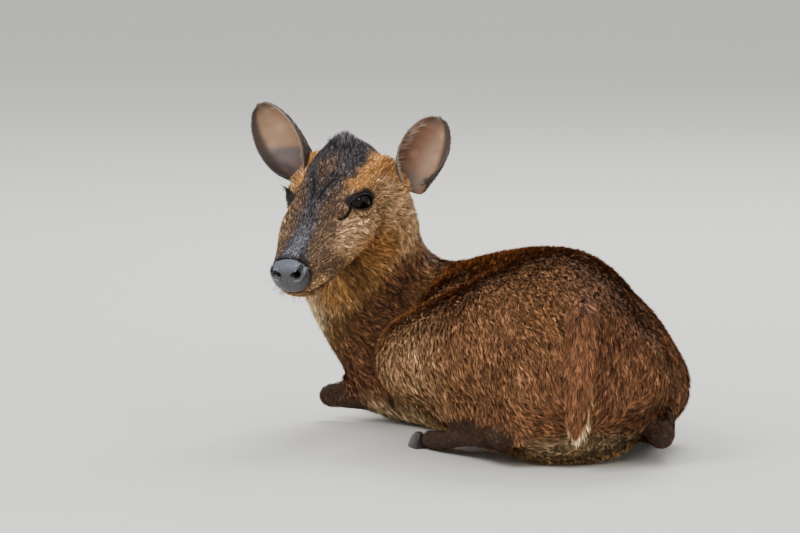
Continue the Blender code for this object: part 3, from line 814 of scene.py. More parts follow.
@dataclass
class Skin:
    """One skin over all the flesh, inside it by the coat's depth, with the face modelled in it."""

    voxel: float = 3.0 * MM
    smoothing: int = 14
    lid_thickness: float = 1.3 * MM
    lid_gap: float = 0.2 * MM
    lid_reach: tuple[float, float] = (21.0, 18.0)
    hole_depth: float = 2.2 * MM
    eye_plug: Triple = (1.12, 1.02, 1.02)
    plump: float = 0.8 * MM
    sink: float = 0.9
    inset_smoothing: int = 4
    floor_gap: float = 0.3 * MM
    obj: bpy.types.Object = None
    weights: dict[str, np.ndarray] = field(default_factory=dict)
    gaps: dict[str, np.ndarray] = field(default_factory=dict)
    border_rounds: int = 16
    fold_rounds: int = 40
    refined: tuple[float, float] = (3.2, 2.4)
    fills: tuple[tuple[float, float, float, float], ...] = (
        (-5.2, 3.7, 0.5, 1.30),
        (-1.9, 3.5, 0.6, 1.05),
        (-4.6, 5.0, -1.0, 1.35),
    )

    def build(self) -> bpy.types.Object:
        """Make the skin.

        Returns:
            The finished skin object.
        """
        self.gather()
        apply_modifier(self.obj, "REMESH", mode="VOXEL", voxel_size=self.voxel)
        apply_modifier(self.obj, "SMOOTH", factor=0.5, iterations=self.smoothing)
        self.weigh()
        self.soften_body()
        self.inset()
        self.refine_face()
        self.weigh()
        self.model_eyes()
        self.model_grooves()
        self.rest_on_floor()
        self.obj.data.shade_smooth()
        LOG.info("skin: %d vertices", len(self.obj.data.vertices))
        return self.obj

    def gather(self) -> None:
        """Copy the flesh nodes, close the eye holes and join all into one object."""
        copies = [copy_of(part.value, "skin_part") for part in Flesh]
        for side in Side:
            centre, axes = ANATOMY.eye_frame(side)
            ball = add_ball(32, 16)
            shape = ANATOMY.eye_radius * np.array(self.eye_plug)
            set_coords(ball, coords(ball) * shape @ axes + centre)
            copies.append(ball)
            for forward, left, up, size in self.fills:
                place = ANATOMY.from_head(np.array([forward, left * side.value, up]))[0]
                copies.append(add_ball(24, 12, size * CM, tuple(place)))
                bpy.ops.object.transform_apply(location=True)
        pick(*copies)
        bpy.ops.object.join()
        self.obj = bpy.context.object
        self.obj.name = "skin"
        self.obj.data.name = "skin"
        weld(self.obj)

    def weigh(self) -> None:
        """Say how much each vertex belongs to each region, with soft borders."""
        names = sorted({part.region for part in Flesh})
        places = [coords(frame["nodes"][part.value]) for part in Flesh]
        labels = np.repeat([names.index(part.region) for part in Flesh], [len(found) for found in places])
        tree = tree_of(np.concatenate(places))
        owners = np.array([labels[tree.find(place)[1]] for place in coords(self.obj)])
        table = self.spread(np.eye(len(names))[owners], self.border_rounds)
        self.weights = {name: table[:, i] for i, name in enumerate(names)}

    def spread(self, values: np.ndarray, rounds: int) -> np.ndarray:
        """Even out values over the skin.

        Args:
            values: an array of N by K.
            rounds: how many times each vertex takes the mean of its neighbours.

        Returns:
            The evened values.
        """
        edges = np.zeros(len(self.obj.data.edges) * 2, np.int64)
        self.obj.data.edges.foreach_get("vertices", edges)
        first, second = edges.reshape(-1, 2).T
        count = len(values)
        near = np.bincount(first, minlength=count) + np.bincount(second, minlength=count)
        near = np.maximum(near, 1)[:, None]
        for _ in range(rounds):
            total = np.zeros_like(values)
            for column in range(values.shape[1]):
                total[:, column] = np.bincount(first, values[second, column], count)
                total[:, column] += np.bincount(second, values[first, column], count)
            values = 0.5 * values + 0.5 * total / near
        return values

    def field_of(self, name: str) -> np.ndarray:
        """One of the coat's sizes at each vertex, in metres.

        Args:
            name: the size's name in Pelt.

        Returns:
            N numbers.
        """
        total = np.zeros(len(self.obj.data.vertices))
        for region, weight in self.weights.items():
            total += weight * getattr(PELTS[region], name)
        return total

    def soften_body(self) -> None:
        """Run the trunk and thighs into each other, as fur does over a fold."""
        share = sum(self.weights[name] for name in ("chest", "belly", "rump", "thigh", "neck")) ** 2
        forward, _, up = ANATOMY.to_head(coords(self.obj)).T
        jowl = self.weights["head"] * smooth_step(-3.2, -5.2, up) * smooth_step(3.0, 0.0, forward)
        share = np.minimum(share + jowl, 1.0)
        places = coords(self.obj)
        even = self.spread(places, self.fold_rounds)
        out = (even - places) * share[:, None]
        places = places + out
        places += normals(self.obj) * (self.plump * share)[:, None]
        set_coords(self.obj, places)

    def inset(self) -> None:
        """Draw the skin in by the coat's depth."""
        forward = ANATOMY.to_head(coords(self.obj))[:, 0]
        trim = 1 - 0.75 * self.weights["head"] * smooth_step(4.5, 8.0, forward)
        depth = self.field_of("depth") * MM * self.sink * trim
        set_coords(self.obj, coords(self.obj) - normals(self.obj) * depth[:, None])
        apply_modifier(self.obj, "SMOOTH", factor=0.5, iterations=self.inset_smoothing)

    def refine_face(self) -> None:
        """Give the face round the eyes, mouth and slits a finer mesh."""
        centre = np.array(ANATOMY.eye_centre) / CM
        for reach in self.refined:
            mirrored = folded(ANATOMY.to_head(coords(self.obj)))
            forward, side, up = mirrored.T
            near = np.linalg.norm(mirrored - centre, axis=1) < reach
            if reach == self.refined[0]:
                muzzle = (forward > 2.5) & (up < 2) & (side < 5)
                near |= muzzle & (np.linalg.norm(mirrored, axis=1) < HEAD_REACH)
                near |= np.linalg.norm(mirrored - np.array([0.8, 0.5, 1.8]), axis=1) < 2.4
            else:
                for gap, _ in self.measure_grooves().values():
                    near |= gap < 0.5
            self.subdivide(near)

    def subdivide(self, near: np.ndarray) -> None:
        """Cut each face whose corners are all marked into four.

        Args:
            near: which vertices are marked.
        """
        bm = bmesh.new()
        bm.from_mesh(self.obj.data)
        bm.verts.ensure_lookup_table()
        edges = [e for e in bm.edges if near[e.verts[0].index] and near[e.verts[1].index]]
        bmesh.ops.subdivide_edges(bm, edges=edges, cuts=1, use_grid_fill=True, smooth=0.4)
        bmesh.ops.triangulate(bm, faces=[f for f in bm.faces if len(f.verts) > 4])
        bm.to_mesh(self.obj.data)
        bm.free()
        self.obj.data.update()

    def model_eyes(self) -> None:
        """Shape the lids over the eyes and open them."""
        places = coords(self.obj)
        for side in Side:
            centre, _ = ANATOMY.eye_frame(side)
            across, rise, out = ANATOMY.on_eye(places, side)
            radius = np.linalg.norm(places - centre, axis=1)
            far = np.hypot(across / self.lid_reach[0], rise / self.lid_reach[1])
            open_by = ANATOMY.almond(across, rise)
            lid = ANATOMY.eye_radius + self.lid_thickness * smooth_step(0.98, 1.30, open_by) + self.lid_gap
            blend = smooth_step(1.0, 0.60, far) * smooth_step(-2, 4, out)
            target = radius * (1 - blend) + lid * blend
            target = np.where((open_by < 1.0) & (out > 0), ANATOMY.eye_radius - self.hole_depth, target)
            crease = np.exp(-(((open_by - 1.55) / 0.12) ** 2)) * smooth_step(-1, 3, rise)
            brow = np.exp(-(((open_by - 1.95) / 0.25) ** 2)) * smooth_step(0, 4, rise)
            target += (brow * 0.9 - crease * 0.8) * blend * MM
            moved = centre + (places - centre) * (target / np.maximum(radius, 1e-6))[:, None]
            near = (far < 1.0) & (out > -2)
            places = np.where(near[:, None], moved, places)
        set_coords(self.obj, places)

    def measure_grooves(self) -> dict[str, tuple[np.ndarray, np.ndarray]]:
        """Draw each groove's line down onto the skin and measure from it.

        Returns:
            For each groove, every vertex's distance in cm and its share of the line.
        """
        mirrored = folded(ANATOMY.to_head(coords(self.obj)))
        near = np.flatnonzero(np.linalg.norm(mirrored, axis=1) < HEAD_REACH)
        found = {}
        for groove in GROOVES:
            line = np.array(groove.line)
            marks = np.linspace(0, len(line) - 1, 6 * (len(line) - 1) + 1)
            line = np.column_stack([np.interp(marks, np.arange(len(line)), line[:, i]) for i in range(3)])
            drawn = []
            for spot in line:
                far = np.linalg.norm(mirrored[near] - spot, axis=1)
                closest = near[np.argsort(far)[:4]]
                drawn.append(mirrored[closest].mean(0))
            drawn = np.array(drawn)
            for _ in range(2):
                drawn[1:-1] = 0.5 * drawn[1:-1] + 0.25 * (drawn[:-2] + drawn[2:])
            found[groove.name] = to_polyline(mirrored, drawn)
        return found

    def model_grooves(self) -> None:
        """Press in the slits before the eyes and on the forehead, and the line of the mouth."""
        places = coords(self.obj)
        inward = -normals(self.obj)
        push = np.zeros(len(places))
        measured = self.measure_grooves()
        for groove in GROOVES:
            gap, along = measured[groove.name]
            self.gaps[groove.name] = gap
            deep = groove.depth * np.exp(-((gap / groove.width) ** 2))
            deep = deep * smooth_step(0, 0.15, along) * smooth_step(1.0, 0.85, along)
            lip = groove.lip * np.exp(-(((gap - 1.9 * groove.width) / groove.width) ** 2))
            push += (deep - lip) * MM
        set_coords(self.obj, places + inward * push[:, None])

    def rest_on_floor(self) -> None:
        """Keep the skin above the floor."""
        places = coords(self.obj)
        places[:, 2] = np.maximum(places[:, 2], self.floor_gap)
        set_coords(self.obj, places)


# Coat


@dataclass
class Lie:
    """Which way the hair lies at each vertex of the skin."""

    skin: Skin
    rounds: int = 7

    def ways(self) -> np.ndarray:
        """The lie of the hair.

        Returns:
            A unit vector along the skin for each vertex.
        """
        points = coords(self.skin.obj)
        facing = normals(self.skin.obj)
        weights = self.skin.weights
        total = np.zeros_like(points)
        back_line = np.array([(x, y, 0.1) for x, y in ANATOMY.trunk_line]) + ANATOMY.shift
        trunk = self.along_line(points, back_line, flat=True)
        sag = np.clip(1.0 - facing[:, 2], 0, 1)[:, None] * np.array([0, 0, -1.0])
        for region in ("chest", "belly", "rump"):
            total += weights[region][:, None] * (trunk + 0.55 * sag)
        total += weights["thigh"][:, None] * (trunk * 0.8 + 1.0 * sag)
        neck_line = np.array(ANATOMY.neck_line) + ANATOMY.shift
        total += weights["neck"][:, None] * self.along_line(points, neck_line)
        total += weights["tail"][:, None] * np.array([0.0, -0.15, -1.0])
        for region in ("shank", "hind_foot", "forearm", "fore_foot"):
            total += weights[region][:, None] * self.down_legs(points, region)
        total += weights["head"][:, None] * self.on_face(points)
        total = self.skin.spread(total, self.rounds)
        total -= facing * (total * facing).sum(1, keepdims=True)
        return unit(total)

    def along_line(self, points: np.ndarray, line: np.ndarray, flat: bool = False) -> np.ndarray:
        """The way a line runs, near each point.

        Args:
            points: places in the row frame.
            line: points of the line, from the hair's root side to its tip side.
            flat: whether heights are left out.

        Returns:
            A unit vector for each point.
        """
        if flat:
            points = points * [1, 1, 0]
            line = line * [1, 1, 0]
        _, along = to_polyline(points, line)
        steps = unit(np.diff(line, axis=0))
        place = along * len(steps) - 0.5
        low = np.clip(np.floor(place).astype(int), 0, len(steps) - 1)
        high = np.clip(low + 1, 0, len(steps) - 1)
        share = np.clip(place - low, 0, 1)[:, None]
        return unit(steps[low] * (1 - share) + steps[high] * share)

    def down_legs(self, points: np.ndarray, region: str) -> np.ndarray:
        """The way down a leg's part, for each point.

        Args:
            points: places in the row frame.
            region: the part of the leg.

        Returns:
            A unit vector for each point.
        """
        ends = {
            "shank": ("shank", "hind_foot", -1),
            "hind_foot": ("hind_foot", "hind_claw", 1),
            "forearm": ("forearm", "fore_foot", 1),
            "fore_foot": ("fore_foot", "fore_claw", 1),
        }
        here, there, way = ends[region]
        result = np.zeros_like(points)
        best = np.full(len(points), 1e9)
        for side in Side:
            low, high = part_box(f"{here}_{side.word}")
            middle = np.array((low + high) / 2)
            suffix = "_outer" if "claw" in there else ""
            other_low, other_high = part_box(f"{there}_{side.word}{suffix}")
            other = np.array((other_low + other_high) / 2)
            far = np.linalg.norm(points - middle, axis=1)
            step = unit((other - middle) * way)
            closer = far < best
            result[closer] = step
            best = np.where(closer, far, best)
        return result

    def on_face(self, points: np.ndarray) -> np.ndarray:
        """The lie of the hair on the head.

        Args:
            points: places in the row frame.

        Returns:
            A vector for each point.
        """
        place = ANATOMY.to_head(points)
        forward, left, up = place.T
        side = np.abs(left)
        back = np.full(len(place), -1.0)
        outward = 0.25 * smooth_step(0.0, 2.0, side) * smooth_step(8, 3, forward) * np.sign(left)
        down = -0.95 * smooth_step(0.5, -3.0, up) * smooth_step(9.0, 4.0, forward)
        crest = smooth_step(-1.0, -3.0, forward) * smooth_step(3.0, 2.0, side) * smooth_step(0.0, 1.0, up)
        rise = down + 0.9 * crest
        outward = outward * (1 - crest) - 0.25 * crest * np.sign(left)
        ways = np.column_stack([back, outward, rise])
        centre = np.array(ANATOMY.eye_centre) / CM
        for sign in (1, -1):
            away = place - centre * np.array([1, sign, 1])
            gap = np.linalg.norm(away, axis=1)
            around = smooth_step(2.6, 1.4, gap)[:, None]
            ways = ways * (1 - 0.75 * around) + unit(away * np.array([1, 0.3, 1])) * 0.75 * around
        return unit(ANATOMY.turned(ways))


@dataclass(frozen=True)
class Layer:
    """One layer of the coat: factors on its regions' sizes, and how its locks differ."""

    crowd: float
    length: float
    rise: float
    width: float
    lock: float
    lock_tone: float
    tone: float
    root_tone: float
    pale: float
    sooty: float


UNDER = Layer(1.0, 0.85, 0.75, 1.1, 9.0, 0.18, 0.74, 0.28, 0.08, 0.20)
OVER = Layer(0.9, 1.20, 1.15, 0.95, 7.0, 0.42, 1.05, 0.28, 0.30, 0.24)
FACE = Layer(0.8, 1.35, 1.20, 1.15, 4.5, 0.50, 1.00, 0.20, 0.34, 0.30)
COAT_PIECES = (
    ("coat_face_under", ("head",), UNDER),
    ("coat_face_over", ("head",), FACE),
    ("coat_neck_under", ("neck",), UNDER),
    ("coat_neck_over", ("neck",), OVER),
    ("coat_shoulders_under", ("chest",), UNDER),
    ("coat_shoulders_over", ("chest",), OVER),
    ("coat_back_under", ("belly",), UNDER),
    ("coat_back_over", ("belly",), OVER),
    ("coat_rump_under", ("rump",), UNDER),
    ("coat_rump_over", ("rump",), OVER),
    ("coat_thighs_under", ("thigh",), UNDER),
    ("coat_thighs_over", ("thigh",), OVER),
    ("coat_legs", ("shank", "hind_foot", "forearm", "fore_foot"), UNDER),
    ("coat_tail", ("tail",), OVER),
)


@dataclass
class Coat:
    """The fur: thin tapering tufts rooted in the skin, that lie along it and overlap."""

    skin: Skin
    seed: int = 11
    limit: int = 88000
    patch: float = 0.003
    root_depth: float = 0.4 * MM
    floor_gap: float = 0.15 * MM
    turn_spread: float = 0.16
    rise_range: tuple[float, float] = (0.55, 1.20)
    roll_spread: float = 0.30
    tone_spread: float = 0.18
    pale_gain: float = 1.55
    sooty_gain: float = 0.42
    pad_centre: Triple = (9.4, 0.0, -2.5)
    pad_radii: Triple = (1.65, 2.28, 1.68)
    roots: dict[str, np.ndarray] = field(default_factory=dict)

    def build(self, material: bpy.types.Material) -> None:
        """Grow the coat's pieces.

        Args:
            material: the hair's finish.
        """
        self.measure()
        for number, (name, regions, layer) in enumerate(COAT_PIECES):
            obj = self.piece(name, regions, layer, self.seed + number)
            obj.data.materials.append(material)
            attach(obj, "root")
            LOG.info("%s: %d triangles", name, len(obj.data.polygons))

    def measure(self) -> None:
        """Read the skin: its triangles, map, and the coat's sizes, lie and colours at each vertex."""
        obj = self.skin.obj
        mesh = obj.data
        mesh.calc_loop_triangles()
        count = len(mesh.loop_triangles)
        corners = np.zeros(count * 3, np.int64)
        mesh.loop_triangles.foreach_get("vertices", corners)
        loops = np.zeros(count * 3, np.int64)
        mesh.loop_triangles.foreach_get("loops", loops)
        flat = np.zeros(len(mesh.loops) * 2)
        mesh.uv_layers["OFBake"].data.foreach_get("uv", flat)
        points = coords(obj)
        facing = normals(obj)
        body, tips = MARKINGS.colours(points, facing, self.skin.weights, self.skin.gaps)
        sizes = [self.skin.field_of(name) for name in ("length", "depth", "width", "crowd")]
        self.roots = {
            "corners": corners.reshape(-1, 3),
            "map": flat.reshape(-1, 2)[loops.reshape(-1, 3)],
            "points": points,
            "facing": facing,
            "ways": Lie(self.skin).ways(),
            "body": body,
            "tips": tips,
            "sizes": np.column_stack(self.trim_face(points, *sizes)),
        }

    def trim_face(
        self,
        points: np.ndarray,
        length: np.ndarray,
        depth: np.ndarray,
        width: np.ndarray,
        crowd: np.ndarray,
    ) -> tuple[np.ndarray, ...]:
        """Shorten the hair toward the nose, eyes and slits, and raise it on the crest.

        Args:
            points: the skin's vertices.
            length: hair length there, in mm.
            depth: how far the coat stands, in mm.
            width: hair width, in mm.
            crowd: hairs to a square mm.

        Returns:
            The four sizes, changed on the face.
        """
        place = ANATOMY.to_head(points)
        mirrored = folded(place)
        forward, side, up = mirrored.T
        head = self.skin.weights["head"]
        short = smooth_step(2.0, 7.5, forward) * head
        eye = np.linalg.norm(mirrored - np.array(ANATOMY.eye_centre) / CM, axis=1)
        lid = smooth_step(2.9, 1.7, eye) * head
        trim = 1 - 0.50 * short - 0.45 * lid * (1 - short)
        crest = head * smooth_step(-1.5, -4.5, forward) * smooth_step(3.0, 1.6, side)
        crest = crest * smooth_step(0.0, 1.5, up)
        root = head * smooth_step(-3.2, -4.6, forward) * smooth_step(2.4, 3.2, side)
        root = root * smooth_step(-0.6, 0.8, up)
        cheek = head * smooth_step(0.6, -2.5, up) * smooth_step(7.0, 2.0, forward)
        peak = head * smooth_step(1.9, 0.9, np.hypot(forward + 4.6, side)) * smooth_step(0.0, 1.0, up)
        length = length * trim * (1 + 0.6 * crest + 0.9 * peak + 1.2 * cheek + 0.5 * root)
        depth = depth * trim * (1 + 0.6 * crest + 2.8 * peak + 0.7 * cheek + 0.8 * root)
        width = width * (1 - 0.20 * short - 0.15 * lid)
        crowd = crowd * (1 + 0.5 * short + 0.5 * lid)
        for groove in GROOVES:
            gap = self.skin.gaps[groove.name]
            crowd = crowd * (1 - head * smooth_step(groove.width * 1.9, groove.width * 1.1, gap))
            length = length * (1 - 0.65 * head * smooth_step(0.55, 0.20, gap))
            depth = depth * (1 - 0.65 * head * smooth_step(0.55, 0.20, gap))
        for eye_side in Side:
            across, rise, out = ANATOMY.on_eye(points, eye_side)
            near = (out > -2) & (np.hypot(across, rise) < 20)
            bare = smooth_step(1.24, 1.12, ANATOMY.surround(across, rise))
            bare = np.maximum(bare, smooth_step(1.16, 1.10, ANATOMY.almond(across, rise)))
            crowd = crowd * (1 - bare * near)
        gap = np.linalg.norm((place - np.array(self.pad_centre)) / np.array(self.pad_radii), axis=1)
        crowd = crowd * smooth_step(0.96, 1.00, gap)
        crowd = crowd * smooth_step(0.5 * MM, 1.5 * MM, points[:, 2])
        return length, depth, width, crowd

    def piece(self, name: str, regions: tuple[str, ...], layer: Layer, seed: int) -> bpy.types.Object:
        """Grow one piece of the coat.

        Args:
            name: the piece's name.
            regions: the regions it covers.
            layer: whether it is the short dense layer or the longer one over it.
            seed: the piece's own random seed.

        Returns:
            The piece.
        """
        rng = np.random.default_rng(seed)
        roots = self.roots
        corners = roots["corners"]
        owner = np.array([list(self.skin.weights).index(r) for r in regions])
        table = np.column_stack(list(self.skin.weights.values()))
        main = table.argmax(1)
        inside = np.isin(main, owner)[corners].sum(1) >= 2
        a, b, c = (roots["points"][corners[:, i]] for i in range(3))
        area = np.linalg.norm(np.cross(b - a, c - a), axis=1) / 2 / MM**2
        weight = area * roots["sizes"][corners, 3].mean(1) * layer.crowd * inside
        total = int(min(weight.sum(), self.limit))
        if weight.sum() > self.limit:
            LOG.info("%s wants %d tufts", name, int(weight.sum()))
        spots = self.sample(weight, total, rng)
        knots = self.sample(weight, max(int(total / layer.lock), 8), rng)
        return self.weave(name, spots, knots, layer, rng)

    def sample(self, weight: np.ndarray, count: int, rng: np.random.Generator) -> dict[str, np.ndarray]:
        """Spread places evenly over the skin by weight.

        Args:
            weight: how many places each triangle should get, up to a factor.
            count: how many places.
            rng: the random numbers.

        Returns:
            What the skin has at each place.
        """
        roots = self.roots
        heap = np.cumsum(weight) / weight.sum()
        marks = (np.arange(count) + rng.random(count)) / count
        chosen = np.searchsorted(heap, marks).clip(0, len(weight) - 1)
        u, v = rng.random(count), rng.random(count)
        flip = u + v > 1
        u[flip], v[flip] = 1 - u[flip], 1 - v[flip]
        shares = np.column_stack([1 - u - v, u, v])
        corners = roots["corners"][chosen]
        found = {}
        for key in ("points", "facing", "ways", "body", "tips", "sizes"):
            found[key] = (roots[key][corners] * shares[:, :, None]).sum(1)
        found["map"] = (roots["map"][chosen] * shares[:, :, None]).sum(1)
        found["facing"] = unit(found["facing"])
        ways = found["ways"] - found["facing"] * (found["ways"] * found["facing"]).sum(1, keepdims=True)
        found["ways"] = unit(ways)
        return found

    def weave(
        self,
        name: str,
        spots: dict[str, np.ndarray],
        knots: dict[str, np.ndarray],
        layer: Layer,
        rng: np.random.Generator,
    ) -> bpy.types.Object:
        """Turn places into tufts, drawn together in small locks.

        Args:
            name: the piece's name.
            spots: the tufts' roots.
            knots: the middles of the locks.
            layer: the layer's own sizes.
            rng: the random numbers.

        Returns:
            The piece.
        """
        count = len(spots["points"])
        tree = tree_of(knots["points"])
        lock = np.array([tree.find(place)[1] for place in spots["points"]])
        locks = len(knots["points"])
        lock_tone = rng.normal(0, layer.lock_tone, locks)
        lock_turn = rng.normal(0, self.turn_spread, locks)
        lock_rise = rng.uniform(*self.rise_range, locks)
        facing, ways = spots["facing"], spots["ways"]
        across = np.cross(facing, ways)
        turn = lock_turn[lock] + ripple(spots["points"], 0.03, 5) * 0.14 + rng.normal(0, 0.08, count)
        ways = ways * np.cos(turn)[:, None] + across * np.sin(turn)[:, None]
        across = np.cross(facing, ways)
        length, depth, width, _ = (spots["sizes"] * MM).T
        length = length * layer.length * rng.uniform(0.75, 1.15, count)
        rise = depth * layer.rise * lock_rise[lock] * rng.uniform(0.8, 1.15, count)
        rise = np.minimum(rise, length * 0.85)
        reach = np.sqrt(np.maximum(length**2 - rise**2, 1e-9))
        root = spots["points"] - facing * self.root_depth
        middle = root + ways * (reach * 0.45)[:, None] + facing * (rise * 0.64 + 0.2 * MM)[:, None]
        tip = root + ways * reach[:, None] + facing * rise[:, None]
        pull = rng.uniform(0.3, 0.75, count)[:, None]
        drawn = knots["points"][lock] - root
        tip = tip + drawn * pull
        middle = middle + drawn * pull * 0.35
        roll = rng.normal(0, self.roll_spread, count)[:, None]
        flat = unit(across * np.cos(roll) + facing * np.sin(roll))
        half = (width * layer.width * rng.uniform(0.7, 1.2, count) / 2)[:, None]
        rows = np.stack([root, middle + flat * half, middle - flat * half, tip], axis=1)
        rows[:, :, 2] = np.maximum(rows[:, :, 2], self.floor_gap)
        tone = np.exp(lock_tone[lock] + rng.normal(0, self.tone_spread, count))[:, None]
        chance = rng.random(count)[:, None]
        sooty = np.where(chance > 1 - layer.sooty, self.sooty_gain, 1.0)
        tone = tone * np.where(chance < layer.pale, self.pale_gain, sooty)
        body = spots["body"] * tone * layer.tone
        tips = spots["tips"] * tone * layer.tone
        dark = spots["body"] * layer.root_tone
        colours = np.stack([dark, body, body, tips], axis=1)
        return self.mesh(name, rows, colours, spots["map"])

    def mesh(self, name: str, rows: np.ndarray, colours: np.ndarray, places: np.ndarray) -> bpy.types.Object:
        """Write tufts into one mesh.

        Args:
            name: the piece's name.
            rows: four points of each tuft: its root, its two sides and its tip.
            colours: the colour at each of them.
            places: where each root lies on the skin's map.

        Returns:
            The object.
        """
        count = len(rows)
        pattern = np.array([0, 1, 2, 2, 1, 3])
        mesh = bpy.data.meshes.new(name)
        mesh.vertices.add(count * 4)
        mesh.vertices.foreach_set("co", rows.astype(np.float32).ravel())
        corners = (np.arange(count)[:, None] * 4 + pattern).ravel()
        mesh.loops.add(len(corners))
        mesh.loops.foreach_set("vertex_index", corners.astype(np.int32))
        mesh.polygons.add(count * 2)
        mesh.polygons.foreach_set("loop_start", (np.arange(count * 2) * 3).astype(np.int32))
        mesh.polygons.foreach_set("use_smooth", np.ones(count * 2, bool))
        layer = mesh.color_attributes.new("Coat", "FLOAT_COLOR", "POINT")
        filled = np.concatenate([colours, np.ones((count, 4, 1))], axis=2)
        layer.data.foreach_set("color", filled.astype(np.float32).ravel())
        layer = mesh.uv_layers.new(name="OFBake")
        shape = np.array([(0, -1), (1, 0), (-1, 0), (0, 1)]) * self.patch / 2
        spread = (places[:, None, :] + shape[pattern][None]).astype(np.float32)
        layer.data.foreach_set("uv", spread.ravel())
        mesh.update(calc_edges=True)
        return add(name, mesh)


# Finishes


@dataclass(frozen=True)
class Finish:
    """A finish: its colour, or the attribute that holds it, with its gloss and fine relief."""

    name: str
    colour: Triple = (128, 128, 128)
    attribute: str = ""
    roughness: float = 0.6
    spread: float = 0.08
    grain: float = 400.0
    relief: float = 0.0
    specular: float = 0.5
    coat: float = 0.0
    coat_roughness: float = 0.08
    tint: float = 0.12

    def build(self) -> bpy.types.Material:
        """Make the material.

        Returns:
            The material.
        """
        material = bpy.data.materials.new(self.name)
        material.use_nodes = True
        tree = material.node_tree
        shader = tree.nodes["Principled BSDF"]
        shader.inputs["Specular IOR Level"].default_value = self.specular
        shader.inputs["Coat Weight"].default_value = self.coat
        shader.inputs["Coat Roughness"].default_value = self.coat_roughness
        grain = tree.nodes.new("ShaderNodeGroup")
        grain.node_tree = grain_group()
        grain.inputs["Scale"].default_value = self.grain
        grain.inputs["Tint"].default_value = self.tint
        grain.inputs["Roughness"].default_value = self.roughness
        grain.inputs["Spread"].default_value = self.spread
        if self.attribute:
            source = tree.nodes.new("ShaderNodeAttribute")
            source.attribute_name = self.attribute
            tree.links.new(source.outputs["Color"], grain.inputs["Colour"])
        else:
            grain.inputs["Colour"].default_value = (*from_srgb(*self.colour), 1)
        tree.links.new(grain.outputs["Colour"], shader.inputs["Base Color"])
        tree.links.new(grain.outputs["Roughness"], shader.inputs["Roughness"])
        if self.relief:
            bump = tree.nodes.new("ShaderNodeBump")
            bump.inputs["Distance"].default_value = self.relief
            tree.links.new(grain.outputs["Height"], bump.inputs["Height"])
            tree.links.new(bump.outputs["Normal"], shader.inputs["Normal"])
        return material


def grain_group() -> bpy.types.NodeTree:
    """The shared fine unevenness of colour, gloss and height, built once.

    Returns:
        The node group.
    """
    if "fine_grain" in bpy.data.node_groups:
        return bpy.data.node_groups["fine_grain"]
    group = bpy.data.node_groups.new("fine_grain", "ShaderNodeTree")
    for name, kind, start in (
        ("Colour", "NodeSocketColor", (0.5, 0.5, 0.5, 1)),
        ("Scale", "NodeSocketFloat", 400.0),
        ("Tint", "NodeSocketFloat", 0.1),
        ("Roughness", "NodeSocketFloat", 0.5),
        ("Spread", "NodeSocketFloat", 0.1),
    ):
        socket = group.interface.new_socket(name=name, in_out="INPUT", socket_type=kind)
        socket.default_value = start
    for name, kind in (
        ("Colour", "NodeSocketColor"),
        ("Roughness", "NodeSocketFloat"),
        ("Height", "NodeSocketFloat"),
    ):
        group.interface.new_socket(name=name, in_out="OUTPUT", socket_type=kind)
    nodes, links = group.nodes, group.links
    entry, leave = nodes.new("NodeGroupInput"), nodes.new("NodeGroupOutput")

    def work_out(operation: str, *terms: bpy.types.NodeSocket | float) -> bpy.types.NodeSocket:
        """Add a sum.

        Args:
            operation: the kind of sum.
            terms: its numbers, or the sockets that give them.

        Returns:
            The socket with its result.
        """
        node = nodes.new("ShaderNodeMath")
        node.operation = operation
        for socket, term in zip(node.inputs, terms):
            if isinstance(term, float):
                socket.default_value = term
            else:
                links.new(term, socket)
        return node.outputs[0]

    place = nodes.new("ShaderNodeTexCoord")
    noise = nodes.new("ShaderNodeTexNoise")
    noise.inputs["Detail"].default_value = 3.0
    links.new(place.outputs["Object"], noise.inputs["Vector"])
    links.new(entry.outputs["Scale"], noise.inputs["Scale"])
    centred = work_out("SUBTRACT", noise.outputs["Fac"], 0.5)
    doubled = work_out("MULTIPLY", entry.outputs["Tint"], 2.0)
    scale = nodes.new("ShaderNodeVectorMath")
    scale.operation = "SCALE"
    links.new(entry.outputs["Colour"], scale.inputs[0])
    links.new(work_out("MULTIPLY_ADD", centred, doubled, 1.0), scale.inputs["Scale"])
    links.new(scale.outputs[0], leave.inputs["Colour"])
    gloss = work_out("MULTIPLY_ADD", centred, entry.outputs["Spread"], entry.outputs["Roughness"])
    links.new(gloss, leave.inputs["Roughness"])
    links.new(noise.outputs["Fac"], leave.inputs["Height"])
    return group


HAIR = Finish("hair", attribute="Coat", roughness=0.72, spread=0.1, grain=300, specular=0.16, tint=0.10)
SKIN = Finish("skin", attribute="Coat", roughness=0.75, grain=900, relief=0.0004, specular=0.25)
EAR_SKIN = Finish("ear_skin", attribute="Coat", roughness=0.55, grain=700, relief=0.0003, specular=0.4)
PAD = Finish(
    "pad_skin",
    attribute="Coat",
    roughness=0.30,
    spread=0.25,
    grain=1300,
    relief=0.0005,
    coat=0.30,
    tint=0.22,
)
EYE = Finish(
    "eye_dark",
    colour=(7, 5, 5),
    roughness=0.05,
    spread=0.0,
    grain=200,
    specular=0.15,
    coat=0.04,
    tint=0.2,
)
LID = Finish(
    "lid_skin",
    colour=(30, 24, 22),
    roughness=0.5,
    spread=0.1,
    grain=900,
    relief=0.0003,
    specular=0.3,
)
HORN = Finish("hoof_horn", colour=(46, 40, 36), roughness=0.40, spread=0.2, grain=250, relief=0.0003)
FLOOR = Finish("floor_pale", colour=(222, 220, 214), roughness=0.8, grain=3, tint=0.01)


def paint(obj: bpy.types.Object, colours: np.ndarray) -> None:
    """Write colours to an object's Coat attribute.

    Args:
        obj: the object.
        colours: N by 3, linear.
    """
    layer = obj.data.color_attributes.new("Coat", "FLOAT_COLOR", "POINT")
    filled = np.column_stack([colours, np.ones(len(colours))])
    layer.data.foreach_set("color", filled.astype(np.float32).ravel())


# Ears


